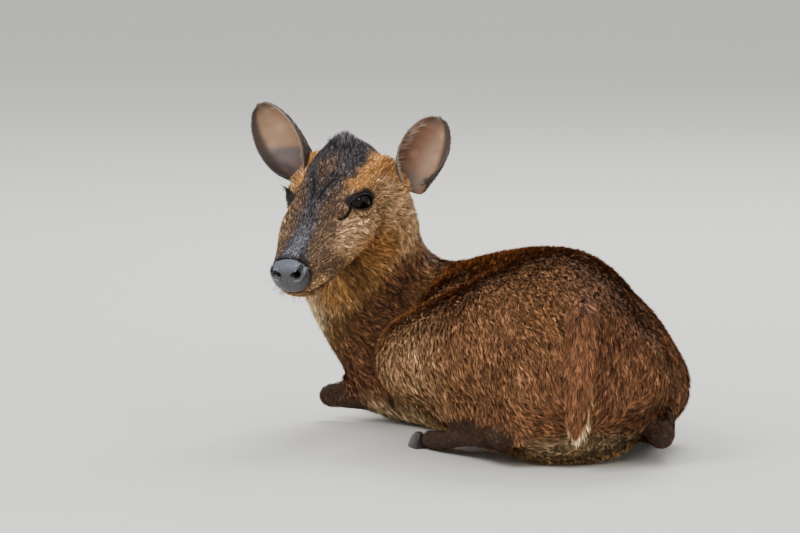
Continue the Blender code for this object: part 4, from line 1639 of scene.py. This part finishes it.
@dataclass(frozen=True)
class EarFit:
    """How one ear stands in the head's frame, as if on the left, and where its dark band lies across it."""

    length: float
    girth: float
    band: tuple[float, float]
    base: Triple
    axis: Triple
    facing: Triple


EAR_FITS = {
    Side.LEFT: EarFit(
        length=0.0748,
        girth=0.93,
        band=(0.36, 0.62),
        base=(-0.0500, 0.0640, -0.0135),
        axis=(-0.777, 0.178, 0.604),
        facing=(0.994, 0.072, -0.080),
    ),
    Side.RIGHT: EarFit(
        length=0.0790,
        girth=1.0,
        band=(0.54, 0.78),
        base=(-0.0486, 0.0523, -0.0021),
        axis=(-0.131, 0.550, 0.825),
        facing=(0.963, -0.088, 0.254),
    ),
}


@dataclass
class Ear:
    """One ear: a thin curled cup, beige inside and dark at its rim and back."""

    side: Side
    thickness: float = 1.2 * MM
    start: float = -0.03
    lean: float = 0.75
    grid: tuple[int, int] = (40, 60)
    back: Triple = (60, 50, 46)
    curl: tuple[Triple, ...] = (
        (0.00, 0.0145, 150.0),
        (0.14, 0.0185, 122.0),
        (0.30, 0.0228, 98.0),
        (0.48, 0.0252, 84.0),
        (0.66, 0.0248, 74.0),
        (0.82, 0.0205, 68.0),
        (0.92, 0.0150, 64.0),
        (0.97, 0.0098, 62.0),
        (1.00, 0.0030, 60.0),
    )

    @property
    def fit(self) -> EarFit:
        """How this ear stands."""
        return EAR_FITS[self.side]

    def axes(self) -> tuple[np.ndarray, np.ndarray, np.ndarray, np.ndarray]:
        """The ear's base and its axes: along it, the way it opens, and across.

        Returns:
            Four vectors.
        """
        mirror = np.array([1, self.side.value, 1])
        base = ANATOMY.from_head(np.array(self.fit.base) / CM * mirror)[0]
        axis = unit(ANATOMY.turned(np.array(self.fit.axis) * mirror))[0]
        facing = unit(ANATOMY.turned(np.array(self.fit.facing) * mirror))[0]
        facing = unit(facing - axis * (facing @ axis))
        return base, axis, facing, np.cross(axis, facing)

    def build(self, material: bpy.types.Material) -> bpy.types.Object:
        """Make the ear.

        Args:
            material: its finish.

        Returns:
            The ear.
        """
        facing = self.axes()[2]
        deselect()
        bpy.ops.mesh.primitive_grid_add(x_subdivisions=self.grid[0], y_subdivisions=self.grid[1], size=2.0)
        obj = bpy.context.object
        obj.name = f"ear_cup_{self.side.word}"
        grid = coords(obj)
        spread = grid[:, 0]
        share = (grid[:, 1] + 1) / 2
        start = self.start + 0.13 * smooth_step(0.2, 1.0, spread * self.side.value)
        share = start + (1 - start) * share
        set_coords(obj, self.place(spread, share))
        edge = np.maximum(np.abs(spread), share)
        colours = self.colours(coords(obj), spread, share, edge)
        behind = float((normals(obj) @ facing).mean()) < 0
        apply_modifier(obj, "SOLIDIFY", thickness=self.thickness, offset=1.0 if behind else -1.0)
        back = np.tile(from_srgb(*self.back), (len(obj.data.vertices) - len(colours), 1))
        paint(obj, np.concatenate([colours, back]))
        obj.data.shade_smooth()
        obj.data.materials.append(material)
        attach(obj, "root")
        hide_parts(f"ear_{self.side.word}")
        LOG.info("%s: %d faces", obj.name, len(obj.data.polygons))
        return obj

    def place(self, spread: np.ndarray, share: np.ndarray) -> np.ndarray:
        """Places on the inside of the cup.

        Args:
            spread: across the ear, -1 to 1.
            share: along it, 0 to 1.

        Returns:
            An array of N by 3.
        """
        base, axis, facing, across = self.axes()
        table = np.array(self.curl)
        radius = self.smooth(share, table[:, 0], table[:, 1]) * self.fit.girth - 0.3 * MM
        angle = np.radians(self.smooth(share, table[:, 0], table[:, 2])) * spread
        lean = (radius - table[0, 1]) * self.lean
        places = base + np.outer(self.fit.length * share, axis) + np.outer(lean, facing)
        return places + np.outer(radius * np.sin(angle), across) - np.outer(radius * np.cos(angle), facing)

    def smooth(self, where: np.ndarray, keys: np.ndarray, values: np.ndarray) -> np.ndarray:
        """Read a table along a smooth curve through its rows.

        Args:
            where: where it is read.
            keys: the rows' places.
            values: the rows' values.

        Returns:
            The values there.
        """
        slopes = np.gradient(values, keys)
        where = np.clip(where, keys[0], keys[-1])
        low = np.clip(np.searchsorted(keys, where, side="right") - 1, 0, len(keys) - 2)
        step = keys[low + 1] - keys[low]
        t = (where - keys[low]) / step
        a, b = values[low], values[low + 1]
        first = (2 * t**3 - 3 * t**2 + 1) * a + (t**3 - 2 * t**2 + t) * step * slopes[low]
        return first + (-2 * t**3 + 3 * t**2) * b + (t**3 - t**2) * step * slopes[low + 1]

    def colours(
        self,
        places: np.ndarray,
        spread: np.ndarray,
        share: np.ndarray,
        edge: np.ndarray,
    ) -> np.ndarray:
        """The cup's colours: beige skin, a dark rim and a grey root, with painted shade across the left cup
        and partly in the right cup's lower bowl.

        Args:
            places: the sheet's vertices.
            spread: across the ear, -1 to 1.
            share: along it, 0 to 1.
            edge: how near the rim, up to 1.

        Returns:
            N by 3, linear.
        """
        colours = np.tile(from_srgb(160, 124, 95), (len(share), 1))

        def lay(colour: Triple, mask: np.ndarray) -> None:
            """Blend a colour over what is there.

            Args:
                colour: the colour.
                mask: how much of it, from 0 to 1.
            """
            part = np.clip(mask, 0, 1)[:, None]
            colours[:] = colours * (1 - part) + from_srgb(*colour) * part

        outer = spread * self.side.value
        if self.side is Side.LEFT:
            # painted shade: the left cup darkens away from its lit outer side, more so in its upper half
            lit = outer - 0.9 * np.maximum(share - 0.5, 0)
            lay((104, 68, 47), smooth_step(0.45, -0.40, lit) * 0.95)
            lay((80, 50, 38), smooth_step(-0.3, -0.8, outer) * smooth_step(0.75, 0.35, share) * 0.7)
            lay((100, 80, 70), smooth_step(0.34, 0.14, share) * 0.8)
        else:
            # the right cup's lower bowl is dark grey: partly dark fur, partly painted shade
            bowl = share - 0.30 * outer
            lay((120, 94, 70), smooth_step(0.66, 0.92, share) * 0.7)
            lay((92, 84, 86), smooth_step(0.37, 0.27, bowl) * 0.9)
            lay((60, 50, 48), smooth_step(0.16, 0.02, bowl) * 0.7)
        lay((130, 92, 70), 0.35 * smooth_step(0.1, 1.0, ripple(places, 0.016, 21)))
        pale = 0.30 * smooth_step(0.2, 1.1, ripple(places, 0.020, 22))
        lay((204, 172, 146), pale * smooth_step(0.3, 0.6, share))
        lay((60, 52, 50), smooth_step(*self.fit.band, outer) * 0.92)
        lay((84, 68, 58), smooth_step(0.86, 1.0, share) * 0.85)
        lay((138, 120, 104), smooth_step(0.975, 0.997, edge) * 0.6 * smooth_step(0.9, 0.5, outer))
        return colours


# Eyes, nose, hooves


@dataclass
class Eye:
    """One eye: a dark glossy ball with a slight bulge in front, and the rim of its lids."""

    side: Side
    tube: float = 0.1

    def build(self, ball_finish: bpy.types.Material, lid_finish: bpy.types.Material) -> None:
        """Make the ball and the rim.

        Args:
            ball_finish: the eye's finish.
            lid_finish: the rim's finish.
        """
        centre, axes = ANATOMY.eye_frame(self.side)
        ball = add_ball(48, 32)
        ball.name = f"eyeball_{self.side.word}"
        places = coords(ball)
        bulge = 1 + 0.035 * smooth_step(0.7, 1.0, places[:, 2])
        set_coords(ball, (places * bulge[:, None] * (ANATOMY.eye_radius - 0.3 * MM)) @ axes + centre)
        self.dress(ball, ball_finish)
        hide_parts(f"eye_{self.side.word}")
        deselect()
        bpy.ops.mesh.primitive_torus_add(
            major_segments=72,
            minor_segments=10,
            major_radius=1.0,
            minor_radius=self.tube,
        )
        rim = bpy.context.object
        rim.name = f"lid_rim_{self.side.word}"
        torus = coords(rim)
        turn = np.arctan2(torus[:, 1], torus[:, 0])
        ring = np.column_stack([np.cos(turn), np.sin(turn)])
        tube = (np.linalg.norm(torus[:, :2], axis=1) - 1) / self.tube
        height = torus[:, 2] / self.tube
        half = ANATOMY.opening[0]
        along, up = ANATOMY.opening_centre
        scale = half / ANATOMY.almond(ring[:, 0] * half + along, ring[:, 1] * half + up)
        thick = 1.0 + 0.5 * smooth_step(-0.2, 0.9, ring[:, 1])
        across = ring[:, 0] * (scale + 0.45 * tube * thick) + along
        rise = ring[:, 1] * (scale + 0.45 * tube * thick) + up
        radius = ANATOMY.eye_radius / MM + 0.55 + 0.75 * height * thick
        out = np.sqrt(np.maximum(radius**2 - np.minimum(across**2 + rise**2, (radius * 0.985) ** 2), 0.5))
        local = np.column_stack([-across * self.side.value, rise, out]) * MM
        set_coords(rim, local @ axes + centre)
        self.dress(rim, lid_finish)

    def dress(self, obj: bpy.types.Object, material: bpy.types.Material) -> None:
        """Finish a piece of the eye.

        Args:
            obj: the piece.
            material: its finish.
        """
        bm = bmesh.new()
        bm.from_mesh(obj.data)
        bmesh.ops.recalc_face_normals(bm, faces=bm.faces)
        bm.to_mesh(obj.data)
        bm.free()
        obj.data.shade_smooth()
        obj.data.materials.append(material)
        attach(obj, "root")


@dataclass(frozen=True)
class Strands:
    """Single hairs before they are meshed: where each stands, how it runs, and its colours."""

    roots: np.ndarray
    ways: np.ndarray
    bend: np.ndarray
    lengths: np.ndarray
    width: float
    colour: np.ndarray
    tip: np.ndarray
    places: np.ndarray


@dataclass
class LooseHairs:
    """The hairs that stand clear of the coat: lashes, whiskers, and the hairs of the ears."""

    skin: Skin
    seed: int = 77
    steps: tuple[float, ...] = (0.0, 0.35, 0.70, 1.0)
    taper: tuple[float, ...] = (1.0, 0.85, 0.50, 0.08)
    patch: float = 0.003
    lash_count: int = 44
    edge_count: int = 330
    inside_count: int = 90
    back_count: int = 1300
    feelers: tuple[Triple, ...] = (
        (-5.0, 13.0, 9.0),
        (-9.0, 12.0, 8.0),
        (1.0, 14.0, 8.5),
        (-13.0, 3.0, 8.0),
        (-12.0, -8.0, 9.0),
    )

    def build(self, ears: list[Ear], material: bpy.types.Material) -> None:
        """Make the pieces.

        Args:
            ears: both ears.
            material: the hair's finish.
        """
        rng = np.random.default_rng(self.seed)
        lashes = [self.lashes(side, rng) for side in Side] + [self.brows(side, rng) for side in Side]
        self.mesh("lashes", lashes, material, "face_coat")
        lips = ((6.6, 9.4), (1.0, 2.8), (-4.6, -2.4))
        chin = ((6.0, 9.0), (0.0, 1.9), (-5.6, -4.2))
        whiskers = [
            self.whiskers(lips, 90, (6, 15), (0.75, -0.25, 0.0), rng),
            self.whiskers(chin, 110, (4, 10), (0.6, 0.1, -0.5), rng),
        ]
        self.mesh("whiskers", whiskers, material, "face_coat")
        for ear in ears:
            hairs = [self.ear_edge(ear, 1, rng), self.ear_edge(ear, -1, rng), self.ear_inside(ear, rng)]
            hairs.append(self.ear_back(ear, rng))
            self.mesh(f"ear_hairs_{ear.side.word}", hairs, material, "ear_skin")

    def lashes(self, side: Side, rng: np.random.Generator) -> Strands:
        """The lashes of one upper lid.

        Args:
            side: which eye.
            rng: the random numbers.

        Returns:
            The hairs.
        """
        count = self.lash_count
        turn = np.radians(np.linspace(25, 165, count) + rng.normal(0, 1.5, count))
        half = ANATOMY.opening[0]
        along, up = np.cos(turn) * half, np.sin(turn) * half
        first, second = ANATOMY.opening_centre
        scale = 1.08 / ANATOMY.almond(along + first, up + second)
        across, rise = along * scale + first, up * scale + second
        radius = ANATOMY.eye_radius / MM + 0.9
        out = np.sqrt(np.maximum(radius**2 - across**2 - rise**2, 4.0))
        centre, axes = ANATOMY.eye_frame(side)
        roots = np.column_stack([-across * side.value, rise, out]) * MM @ axes + centre
        lean = -np.cos(turn) * 0.5 * side.value
        local = np.column_stack([lean, 0.25 + 0.15 * np.sin(turn), np.full(count, 0.85)])
        ways = unit(local @ axes + rng.normal(0, 0.10, (count, 3)))
        bend = np.tile(axes[1] * 0.25, (count, 1))
        dark = from_srgb(24, 19, 17)
        long = rng.uniform(4.5, 7.5, count) * MM
        return Strands(roots, ways, bend, long, 0.36 * MM, dark, dark, self.map_of(roots))

    def brows(self, side: Side, rng: np.random.Generator) -> Strands:
        """The few long feelers above one eye.

        Args:
            side: which eye.
            rng: the random numbers.

        Returns:
            The hairs.
        """
        centre, axes = ANATOMY.eye_frame(side)
        local = np.array(self.feelers) * [side.value, 1, 1]
        count = len(local)
        roots = self.on_skin(local * MM @ axes + centre)
        ways = unit(unit(local @ axes) + rng.normal(0, 0.12, (count, 3)))
        bend = np.tile(np.array([0.0, 0.0, -0.15]), (count, 1))
        dark = from_srgb(30, 24, 20)
        long = rng.uniform(13, 19, count) * MM
        return Strands(roots, ways, bend, long, 0.32 * MM, dark, dark, self.map_of(roots))

    def whiskers(
        self,
        region: tuple[tuple[float, float], ...],
        count: int,
        lengths: tuple[float, float],
        lean: Triple,
        rng: np.random.Generator,
    ) -> Strands:
        """Hairs that stand out of a part of the muzzle.

        Args:
            region: from and to, forward, out to the side and up in the head's frame, in cm.
            count: how many hairs.
            lengths: the shortest and longest, in mm.
            lean: how far they follow the skin's normal, the way forward and the way up.
            rng: the random numbers.

        Returns:
            The hairs.
        """
        points = coords(self.skin.obj)
        place = folded(ANATOMY.to_head(points))
        low, high = np.array(region).T
        inside = ((place > low) & (place < high)).all(1)
        chosen = rng.choice(np.flatnonzero(inside), count)
        ways = normals(self.skin.obj)[chosen] * lean[0]
        ways += ANATOMY.turned(np.array([[lean[1], 0.0, lean[2]]]))
        ways = unit(ways + rng.normal(0, 0.18, (count, 3)))
        bend = np.tile(np.array([0.0, 0.0, -0.2]), (count, 1))
        dark, pale = from_srgb(34, 27, 23), from_srgb(196, 170, 132)
        colour = np.where(rng.random(count)[:, None] < 0.72, dark, pale)
        long = rng.uniform(*lengths, count) * MM
        roots = points[chosen]
        return Strands(roots, ways, bend, long, 0.30 * MM, colour, colour, self.map_of(roots))

    def ear_edge(self, ear: Ear, outer: int, rng: np.random.Generator) -> Strands:
        """The fringe along one edge of an ear.

        Args:
            ear: the ear.
            outer: 1 for the edge away from the head, -1 for the one beside it.
            rng: the random numbers.

        Returns:
            The hairs.
        """
        count = self.edge_count
        share = rng.uniform(0.0, 1.0, count) ** 0.8
        spread = np.full(count, outer * ear.side.value * 0.995)
        tip = rng.random(count) < 0.22
        share = np.where(tip, 0.995, share)
        spread = np.where(tip, spread * rng.uniform(0, 1, count), spread)
        roots = ear.place(spread, share)
        inside = ear.place(spread * 0.9, np.where(tip, share - 0.05, share))
        axis = ear.axes()[1]
        ways = unit(unit(roots - inside) * 0.7 + axis * 0.8 + rng.normal(0, 0.16, (count, 3)))
        root_colour = from_srgb(70, 60, 56) if outer > 0 else from_srgb(120, 102, 86)
        tip_colour = from_srgb(150, 142, 136) if outer > 0 else from_srgb(212, 198, 178)
        long = rng.uniform(1.8, 3.6, count) * MM
        places = np.column_stack([(spread + 1) / 2, share])
        return Strands(roots, ways, ways * 0.05, long, 0.34 * MM, root_colour, tip_colour, places)

    def ear_inside(self, ear: Ear, rng: np.random.Generator) -> Strands:
        """The long pale hairs inside an ear, rooted along the edge beside the head.

        Args:
            ear: the ear.
            rng: the random numbers.

        Returns:
            The hairs.
        """
        count = self.inside_count
        outer = rng.uniform(-0.97, -0.72, count)
        high = rng.random(count) < 0.6
        share = np.where(high, rng.uniform(0.55, 0.86, count), rng.uniform(0.15, 0.55, count))
        spread = outer * ear.side.value
        roots = ear.place(spread, share)
        _, axis, facing, _ = ear.axes()
        toward = unit(ear.place(spread * 0.6, share) - roots)
        ways = unit(axis * 0.45 + toward * 0.8 + facing * 0.25 + rng.normal(0, 0.14, (count, 3)))
        long = rng.uniform(4, 9, count) * MM
        places = np.column_stack([(spread + 1) / 2, share])
        pale = from_srgb(226, 216, 200)
        return Strands(roots, ways, toward * 0.15, long, 0.30 * MM, from_srgb(190, 172, 150), pale, places)

    def ear_back(self, ear: Ear, rng: np.random.Generator) -> Strands:
        """The short flat fur on an ear's back.

        Args:
            ear: the ear.
            rng: the random numbers.

        Returns:
            The hairs.
        """
        count = self.back_count
        share = rng.uniform(0.0, 0.97, count)
        spread = rng.uniform(-0.98, 0.98, count)
        inner = ear.place(spread, share)
        along = unit(ear.place(spread, share + 0.02) - inner)
        sideways = unit(ear.place(spread + 0.02, share) - inner)
        out = unit(np.cross(along, sideways))
        out *= np.sign(-(out @ ear.axes()[2]).mean() + 1e-9)
        roots = inner + out * ear.thickness
        ways = unit(along + out * 0.16 + rng.normal(0, 0.10, (count, 3)))
        tone = np.exp(rng.normal(0, 0.3, count))[:, None]
        places = np.column_stack([(spread + 1) / 2, share])
        long = rng.uniform(3.5, 5.5, count) * MM
        dark, pale = from_srgb(52, 42, 38) * tone, from_srgb(112, 92, 76) * tone
        return Strands(roots, ways, -out * 0.08, long, 0.62 * MM, dark, pale, places)

    def on_skin(self, points: np.ndarray) -> np.ndarray:
        """The skin's vertices nearest to some places.

        Args:
            points: an array of N by 3.

        Returns:
            An array of N by 3.
        """
        places = coords(self.skin.obj)
        return np.array([places[np.linalg.norm(places - point, axis=1).argmin()] for point in points])

    def map_of(self, points: np.ndarray) -> np.ndarray:
        """Where places near the skin lie on its map.

        Args:
            points: an array of N by 3.

        Returns:
            An array of N by 2.
        """
        mesh = self.skin.obj.data
        places = coords(self.skin.obj)
        owners = np.zeros(len(mesh.loops), np.int64)
        mesh.loops.foreach_get("vertex_index", owners)
        flat = np.zeros(len(mesh.loops) * 2)
        mesh.uv_layers["OFBake"].data.foreach_get("uv", flat)
        table = np.zeros((len(places), 2))
        table[owners] = flat.reshape(-1, 2)
        return np.array([table[np.linalg.norm(places - point, axis=1).argmin()] for point in points])

    def mesh(self, name: str, groups: list[Strands], material: bpy.types.Material, slot: str) -> None:
        """Mesh hairs as thin tapered tubes, all in one piece.

        Args:
            name: the piece's name.
            groups: its hairs.
            material: its finish.
            slot: not used.
        """
        sides = 3
        rows, colours, places = [], [], []
        for group in groups:
            count = len(group.roots)
            across = unit(np.cross(group.ways, np.array([0.31, 0.53, 0.79])))
            over = np.cross(group.ways, across)
            for step, taper in zip(self.steps, self.taper):
                centre = group.roots + (group.ways * step + group.bend * step**2) * group.lengths[:, None]
                shade = np.broadcast_to(group.colour * (1 - step) + group.tip * step, (count, 3))
                for corner in range(sides):
                    turn = corner * 2 * math.pi / sides
                    ring = (across * math.cos(turn) + over * math.sin(turn)) * group.width * taper / 2
                    rows.append(centre + ring)
                    colours.append(shade)
            places.append(group.places)
        size = len(self.steps) * sides
        rows = self.by_hair(rows, size)
        colours = self.by_hair(colours, size)
        faces = []
        for low in range(0, size - sides, sides):
            for j in range(sides):
                after = (j + 1) % sides
                faces.append((low + j, low + after, low + sides + after, low + sides + j))
        total = len(rows) // size
        table = (np.arange(total)[:, None, None] * size + np.array(faces)[None]).reshape(-1, 4)
        mesh = bpy.data.meshes.new(name)
        mesh.from_pydata(rows.tolist(), [], table.tolist())
        mesh.validate()
        layer = mesh.uv_layers.new(name="OFBake")
        corners = np.array([(0, 0), (1, 0), (1, 1), (0, 1)]) * self.patch
        spots = np.repeat(np.concatenate(places), len(faces), axis=0)
        layer.data.foreach_set("uv", (spots[:, None, :] + corners[None]).astype(np.float32).ravel())
        obj = add(name, mesh)
        paint(obj, colours)
        obj.data.shade_smooth()
        obj.data.materials.append(material)
        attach(obj, "root")
        LOG.info("%s: %d hairs", name, total)

    def by_hair(self, rings: list[np.ndarray], size: int) -> np.ndarray:
        """Put the corners of each hair one after another.

        Args:
            rings: for each group in turn, its corners, each an array of hairs by 3.
            size: how many corners a hair has.

        Returns:
            An array of all corners by 3.
        """
        found = []
        for start in range(0, len(rings), size):
            found.append(np.stack(rings[start : start + size], axis=1).reshape(-1, 3))
        return np.concatenate(found)


@dataclass
class NosePad:
    """The bare moist pad, with its nostrils and the groove between them."""

    voxel: float = 0.55 * MM
    slit: tuple[tuple[float, float], ...] = (
        (0.84, -2.16),
        (1.14, -2.04),
        (1.40, -1.84),
        (1.50, -1.64),
        (1.45, -1.48),
    )
    plug_centre: Triple = (9.40, 1.22, -2.00)
    plug_radius: float = 6.2 * MM
    hole_depth: float = 8.0
    smoothing: int = 16
    low: Triple = (42, 43, 48)
    # painted light: the pad's top is paler where light falls on it
    top: Triple = (82, 86, 98)
    # painted shade: the nostrils' insides are near black
    hole: Triple = (6, 5, 5)
    # painted highlight on the nostrils' wings
    rim: Triple = (120, 124, 134)

    def build(self, material: bpy.types.Material) -> None:
        """Make the pad.

        Args:
            material: its finish.
        """
        obj = copy_of("nose_pad", "nose_leather")
        weld(obj)
        plugs = [obj]
        for side in Side:
            centre = ANATOMY.from_head(np.array(self.plug_centre) * [1, side.value, 1])[0]
            plugs.append(add_ball(24, 12, self.plug_radius, tuple(centre)))
        pick(*plugs)
        bpy.ops.object.join()
        obj = bpy.context.object
        apply_modifier(obj, "REMESH", mode="VOXEL", voxel_size=self.voxel)
        apply_modifier(obj, "SMOOTH", factor=0.5, iterations=self.smoothing)
        self.carve(obj)
        obj.data.shade_smooth()
        obj.data.materials.clear()
        obj.data.materials.append(material)
        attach(obj, "root")
        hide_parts("nose_pad")
        LOG.info("nose pad: %d vertices", len(obj.data.vertices))

    def carve(self, obj: bpy.types.Object) -> None:
        """Press in the nostrils, raise their wings and draw the middle groove, then paint the pad with
        painted light on its top, painted shade in the nostrils and a painted highlight on their wings.

        Args:
            obj: the pad.
        """
        places = coords(obj)
        place = ANATOMY.to_head(places)
        side = np.abs(place[:, 1])
        flat = np.column_stack([side, place[:, 2], np.zeros(len(place))])
        line = np.array([(out, up, 0.0) for out, up in self.slit])
        gap, along = to_polyline(flat, line)
        wide = np.interp(along, [0, 0.3, 0.6, 1.0], [0.30, 0.40, 0.30, 0.12])
        front = smooth_step(7.6, 8.6, place[:, 0])
        deep = self.hole_depth * smooth_step(1.10, 0.50, gap / wide) * front
        deep = deep * np.interp(along, [0, 0.6, 1.0], [1.0, 0.75, 0.25])
        outside = smooth_step(0.9, 1.3, side + 0.35 * (-place[:, 2] - 1.9))
        wing = 1.3 * np.exp(-(((gap - wide - 0.20) / 0.14) ** 2)) * front * outside
        groove = 0.4 * np.exp(-((side / 0.07) ** 2)) * smooth_step(-2.3, -3.0, place[:, 2]) * front
        pebbles = 0.10 * ripple(places, 0.0022, 31)
        ahead, _, above = ANATOMY.head_turn.T
        moved = places - np.outer(deep * MM, ahead) + np.outer(deep * 0.2 * MM, above)
        moved = moved + normals(obj) * ((wing + pebbles - groove) * MM)[:, None]
        set_coords(obj, moved)
        colours = np.tile(from_srgb(*self.low), (len(places), 1))
        # painted light on the pad's top, its lower front left darker
        top = smooth_step(-2.2, -1.2, place[:, 2])[:, None]
        colours = colours * (1 - top) + from_srgb(*self.top) * top
        # painted shade inside the nostrils
        hole = smooth_step(1.2, 0.85, gap / wide)[:, None] * front[:, None]
        colours = colours * (1 - hole) + from_srgb(*self.hole) * hole
        # painted highlight on the raised wings beside the nostrils
        rim = smooth_step(0.5, 1.1, wing)[:, None] * 0.5
        colours = colours * (1 - rim) + from_srgb(*self.rim) * rim
        paint(obj, colours)


@dataclass
class Hooves:
    """The eight claws, rounded and dark."""

    rounding: float = 0.8 * MM
    crease: float = math.radians(25)

    def build(self, material: bpy.types.Material) -> None:
        """Make the claws as one piece.

        Args:
            material: their finish.
        """
        names = sorted(name for name in frame["nodes"] if "_claw_" in name)
        pick(*[copy_of(name, "claw") for name in names])
        bpy.ops.object.join()
        obj = bpy.context.object
        obj.name = "hooves"
        weld(obj)
        apply_modifier(
            obj,
            "BEVEL",
            width=self.rounding,
            segments=2,
            limit_method="ANGLE",
            angle_limit=self.crease,
        )
        obj.data.shade_smooth()
        obj.data.materials.clear()
        obj.data.materials.append(material)
        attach(obj, "root")
        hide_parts(*names)
        LOG.info("hooves: %d faces", len(obj.data.polygons))


# Studio


@dataclass(frozen=True)
class Lamp:
    """A soft square light: where it stands, its side in metres and its power in watts."""

    name: str
    place: Triple
    size: float
    power: float


@dataclass(frozen=True)
class Studio:
    """The pale floor, the soft lights and the camera at the photograph's angle."""

    lamps: tuple[Lamp, ...] = (
        Lamp("key", (-1.6, -2.0, 2.4), 1.4, 72),
        Lamp("catch", (0.14, -3.05, 1.43), 0.7, 16),
        Lamp("fill", (2.2, -1.8, 1.2), 2.0, 12),
        Lamp("rim", (0.6, 2.2, 2.4), 1.6, 84),
    )
    aim: Triple = (-0.03, 0.02, 0.15)
    sky: tuple[float, ...] = (0.88, 0.90, 0.92, 1)
    sky_strength: float = 0.95
    floor_radius: float = 30.0

    target: Triple = (-0.124, 0.0, 0.1805)
    distance: float = 7.0
    elevation: float = 6.0
    lens: float = 330.75
    sensor: float = 36.0
    clip_end: float = 100.0

    def build(self) -> None:
        """Make the floor, lights and camera."""
        deselect()
        bpy.ops.mesh.primitive_circle_add(vertices=64, radius=self.floor_radius, fill_type="NGON")
        floor = bpy.context.object
        floor.name = "studio_floor"
        floor.data.materials.append(FLOOR.build())
        world = bpy.data.worlds.new("studio")
        bpy.context.scene.world = world
        world.use_nodes = True
        back = world.node_tree.nodes["Background"]
        back.inputs["Color"].default_value = self.sky
        back.inputs["Strength"].default_value = self.sky_strength
        for lamp in self.lamps:
            self.light(lamp)
        self.camera()

    def light(self, lamp: Lamp) -> None:
        """Add a light that faces the doe.

        Args:
            lamp: the light.
        """
        data = bpy.data.lights.new(lamp.name, "AREA")
        data.size = lamp.size
        data.energy = lamp.power
        obj = add(lamp.name, data)
        obj.location = lamp.place
        way = Vector(self.aim) - Vector(lamp.place)
        obj.rotation_euler = way.to_track_quat("-Z", "Y").to_euler()

    def camera(self) -> None:
        """Place the camera behind the doe, a little above her."""
        lens = bpy.data.cameras.new("camera")
        lens.lens = self.lens
        lens.sensor_width = self.sensor
        lens.clip_end = self.clip_end
        obj = add("camera", lens)
        rise = math.radians(self.elevation)
        target = Vector(np.array(self.target) + ANATOMY.shift)
        way = Vector((0.0, math.cos(rise), -math.sin(rise)))
        obj.location = target - way * self.distance
        obj.rotation_euler = way.to_track_quat("-Z", "Y").to_euler()
        bpy.context.scene.camera = obj


# The doe


def map_skin(obj: bpy.types.Object) -> None:
    """Unwrap the skin's own shape into its OFBake map.

    Args:
        obj: the skin.
    """
    pick(obj)
    obj.data.uv_layers.new(name="OFBake")
    bpy.ops.object.mode_set(mode="EDIT")
    bpy.ops.mesh.select_all(action="SELECT")
    bpy.ops.uv.smart_project(angle_limit=math.radians(66), island_margin=0.002)
    bpy.ops.object.mode_set(mode="OBJECT")


def main() -> None:
    """Build the doe and her studio."""
    logging.basicConfig(level=logging.INFO, format="%(message)s")
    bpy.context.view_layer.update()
    skin_shade = 0.6
    deselect()
    skin = Skin()
    obj = skin.build()
    map_skin(obj)
    body, _ = MARKINGS.colours(coords(obj), normals(obj), skin.weights, skin.gaps)
    paint(obj, body * skin_shade)
    obj.data.materials.clear()
    obj.data.materials.append(SKIN.build())
    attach(obj, "root")
    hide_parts(*[part.value for part in Flesh])
    LOG.info("skin is dressed")
    hair = HAIR.build()
    Coat(skin).build(hair)
    ear_finish = EAR_SKIN.build()
    ball_finish, lid_finish = EYE.build(), LID.build()
    ears = [Ear(side) for side in Side]
    for ear in ears:
        ear.build(ear_finish)
        Eye(ear.side).build(ball_finish, lid_finish)
    LooseHairs(skin).build(ears, hair)
    NosePad().build(PAD.build())
    Hooves().build(HORN.build())
    Studio().build()
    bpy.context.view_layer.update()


if __name__ == "__main__":
    main()
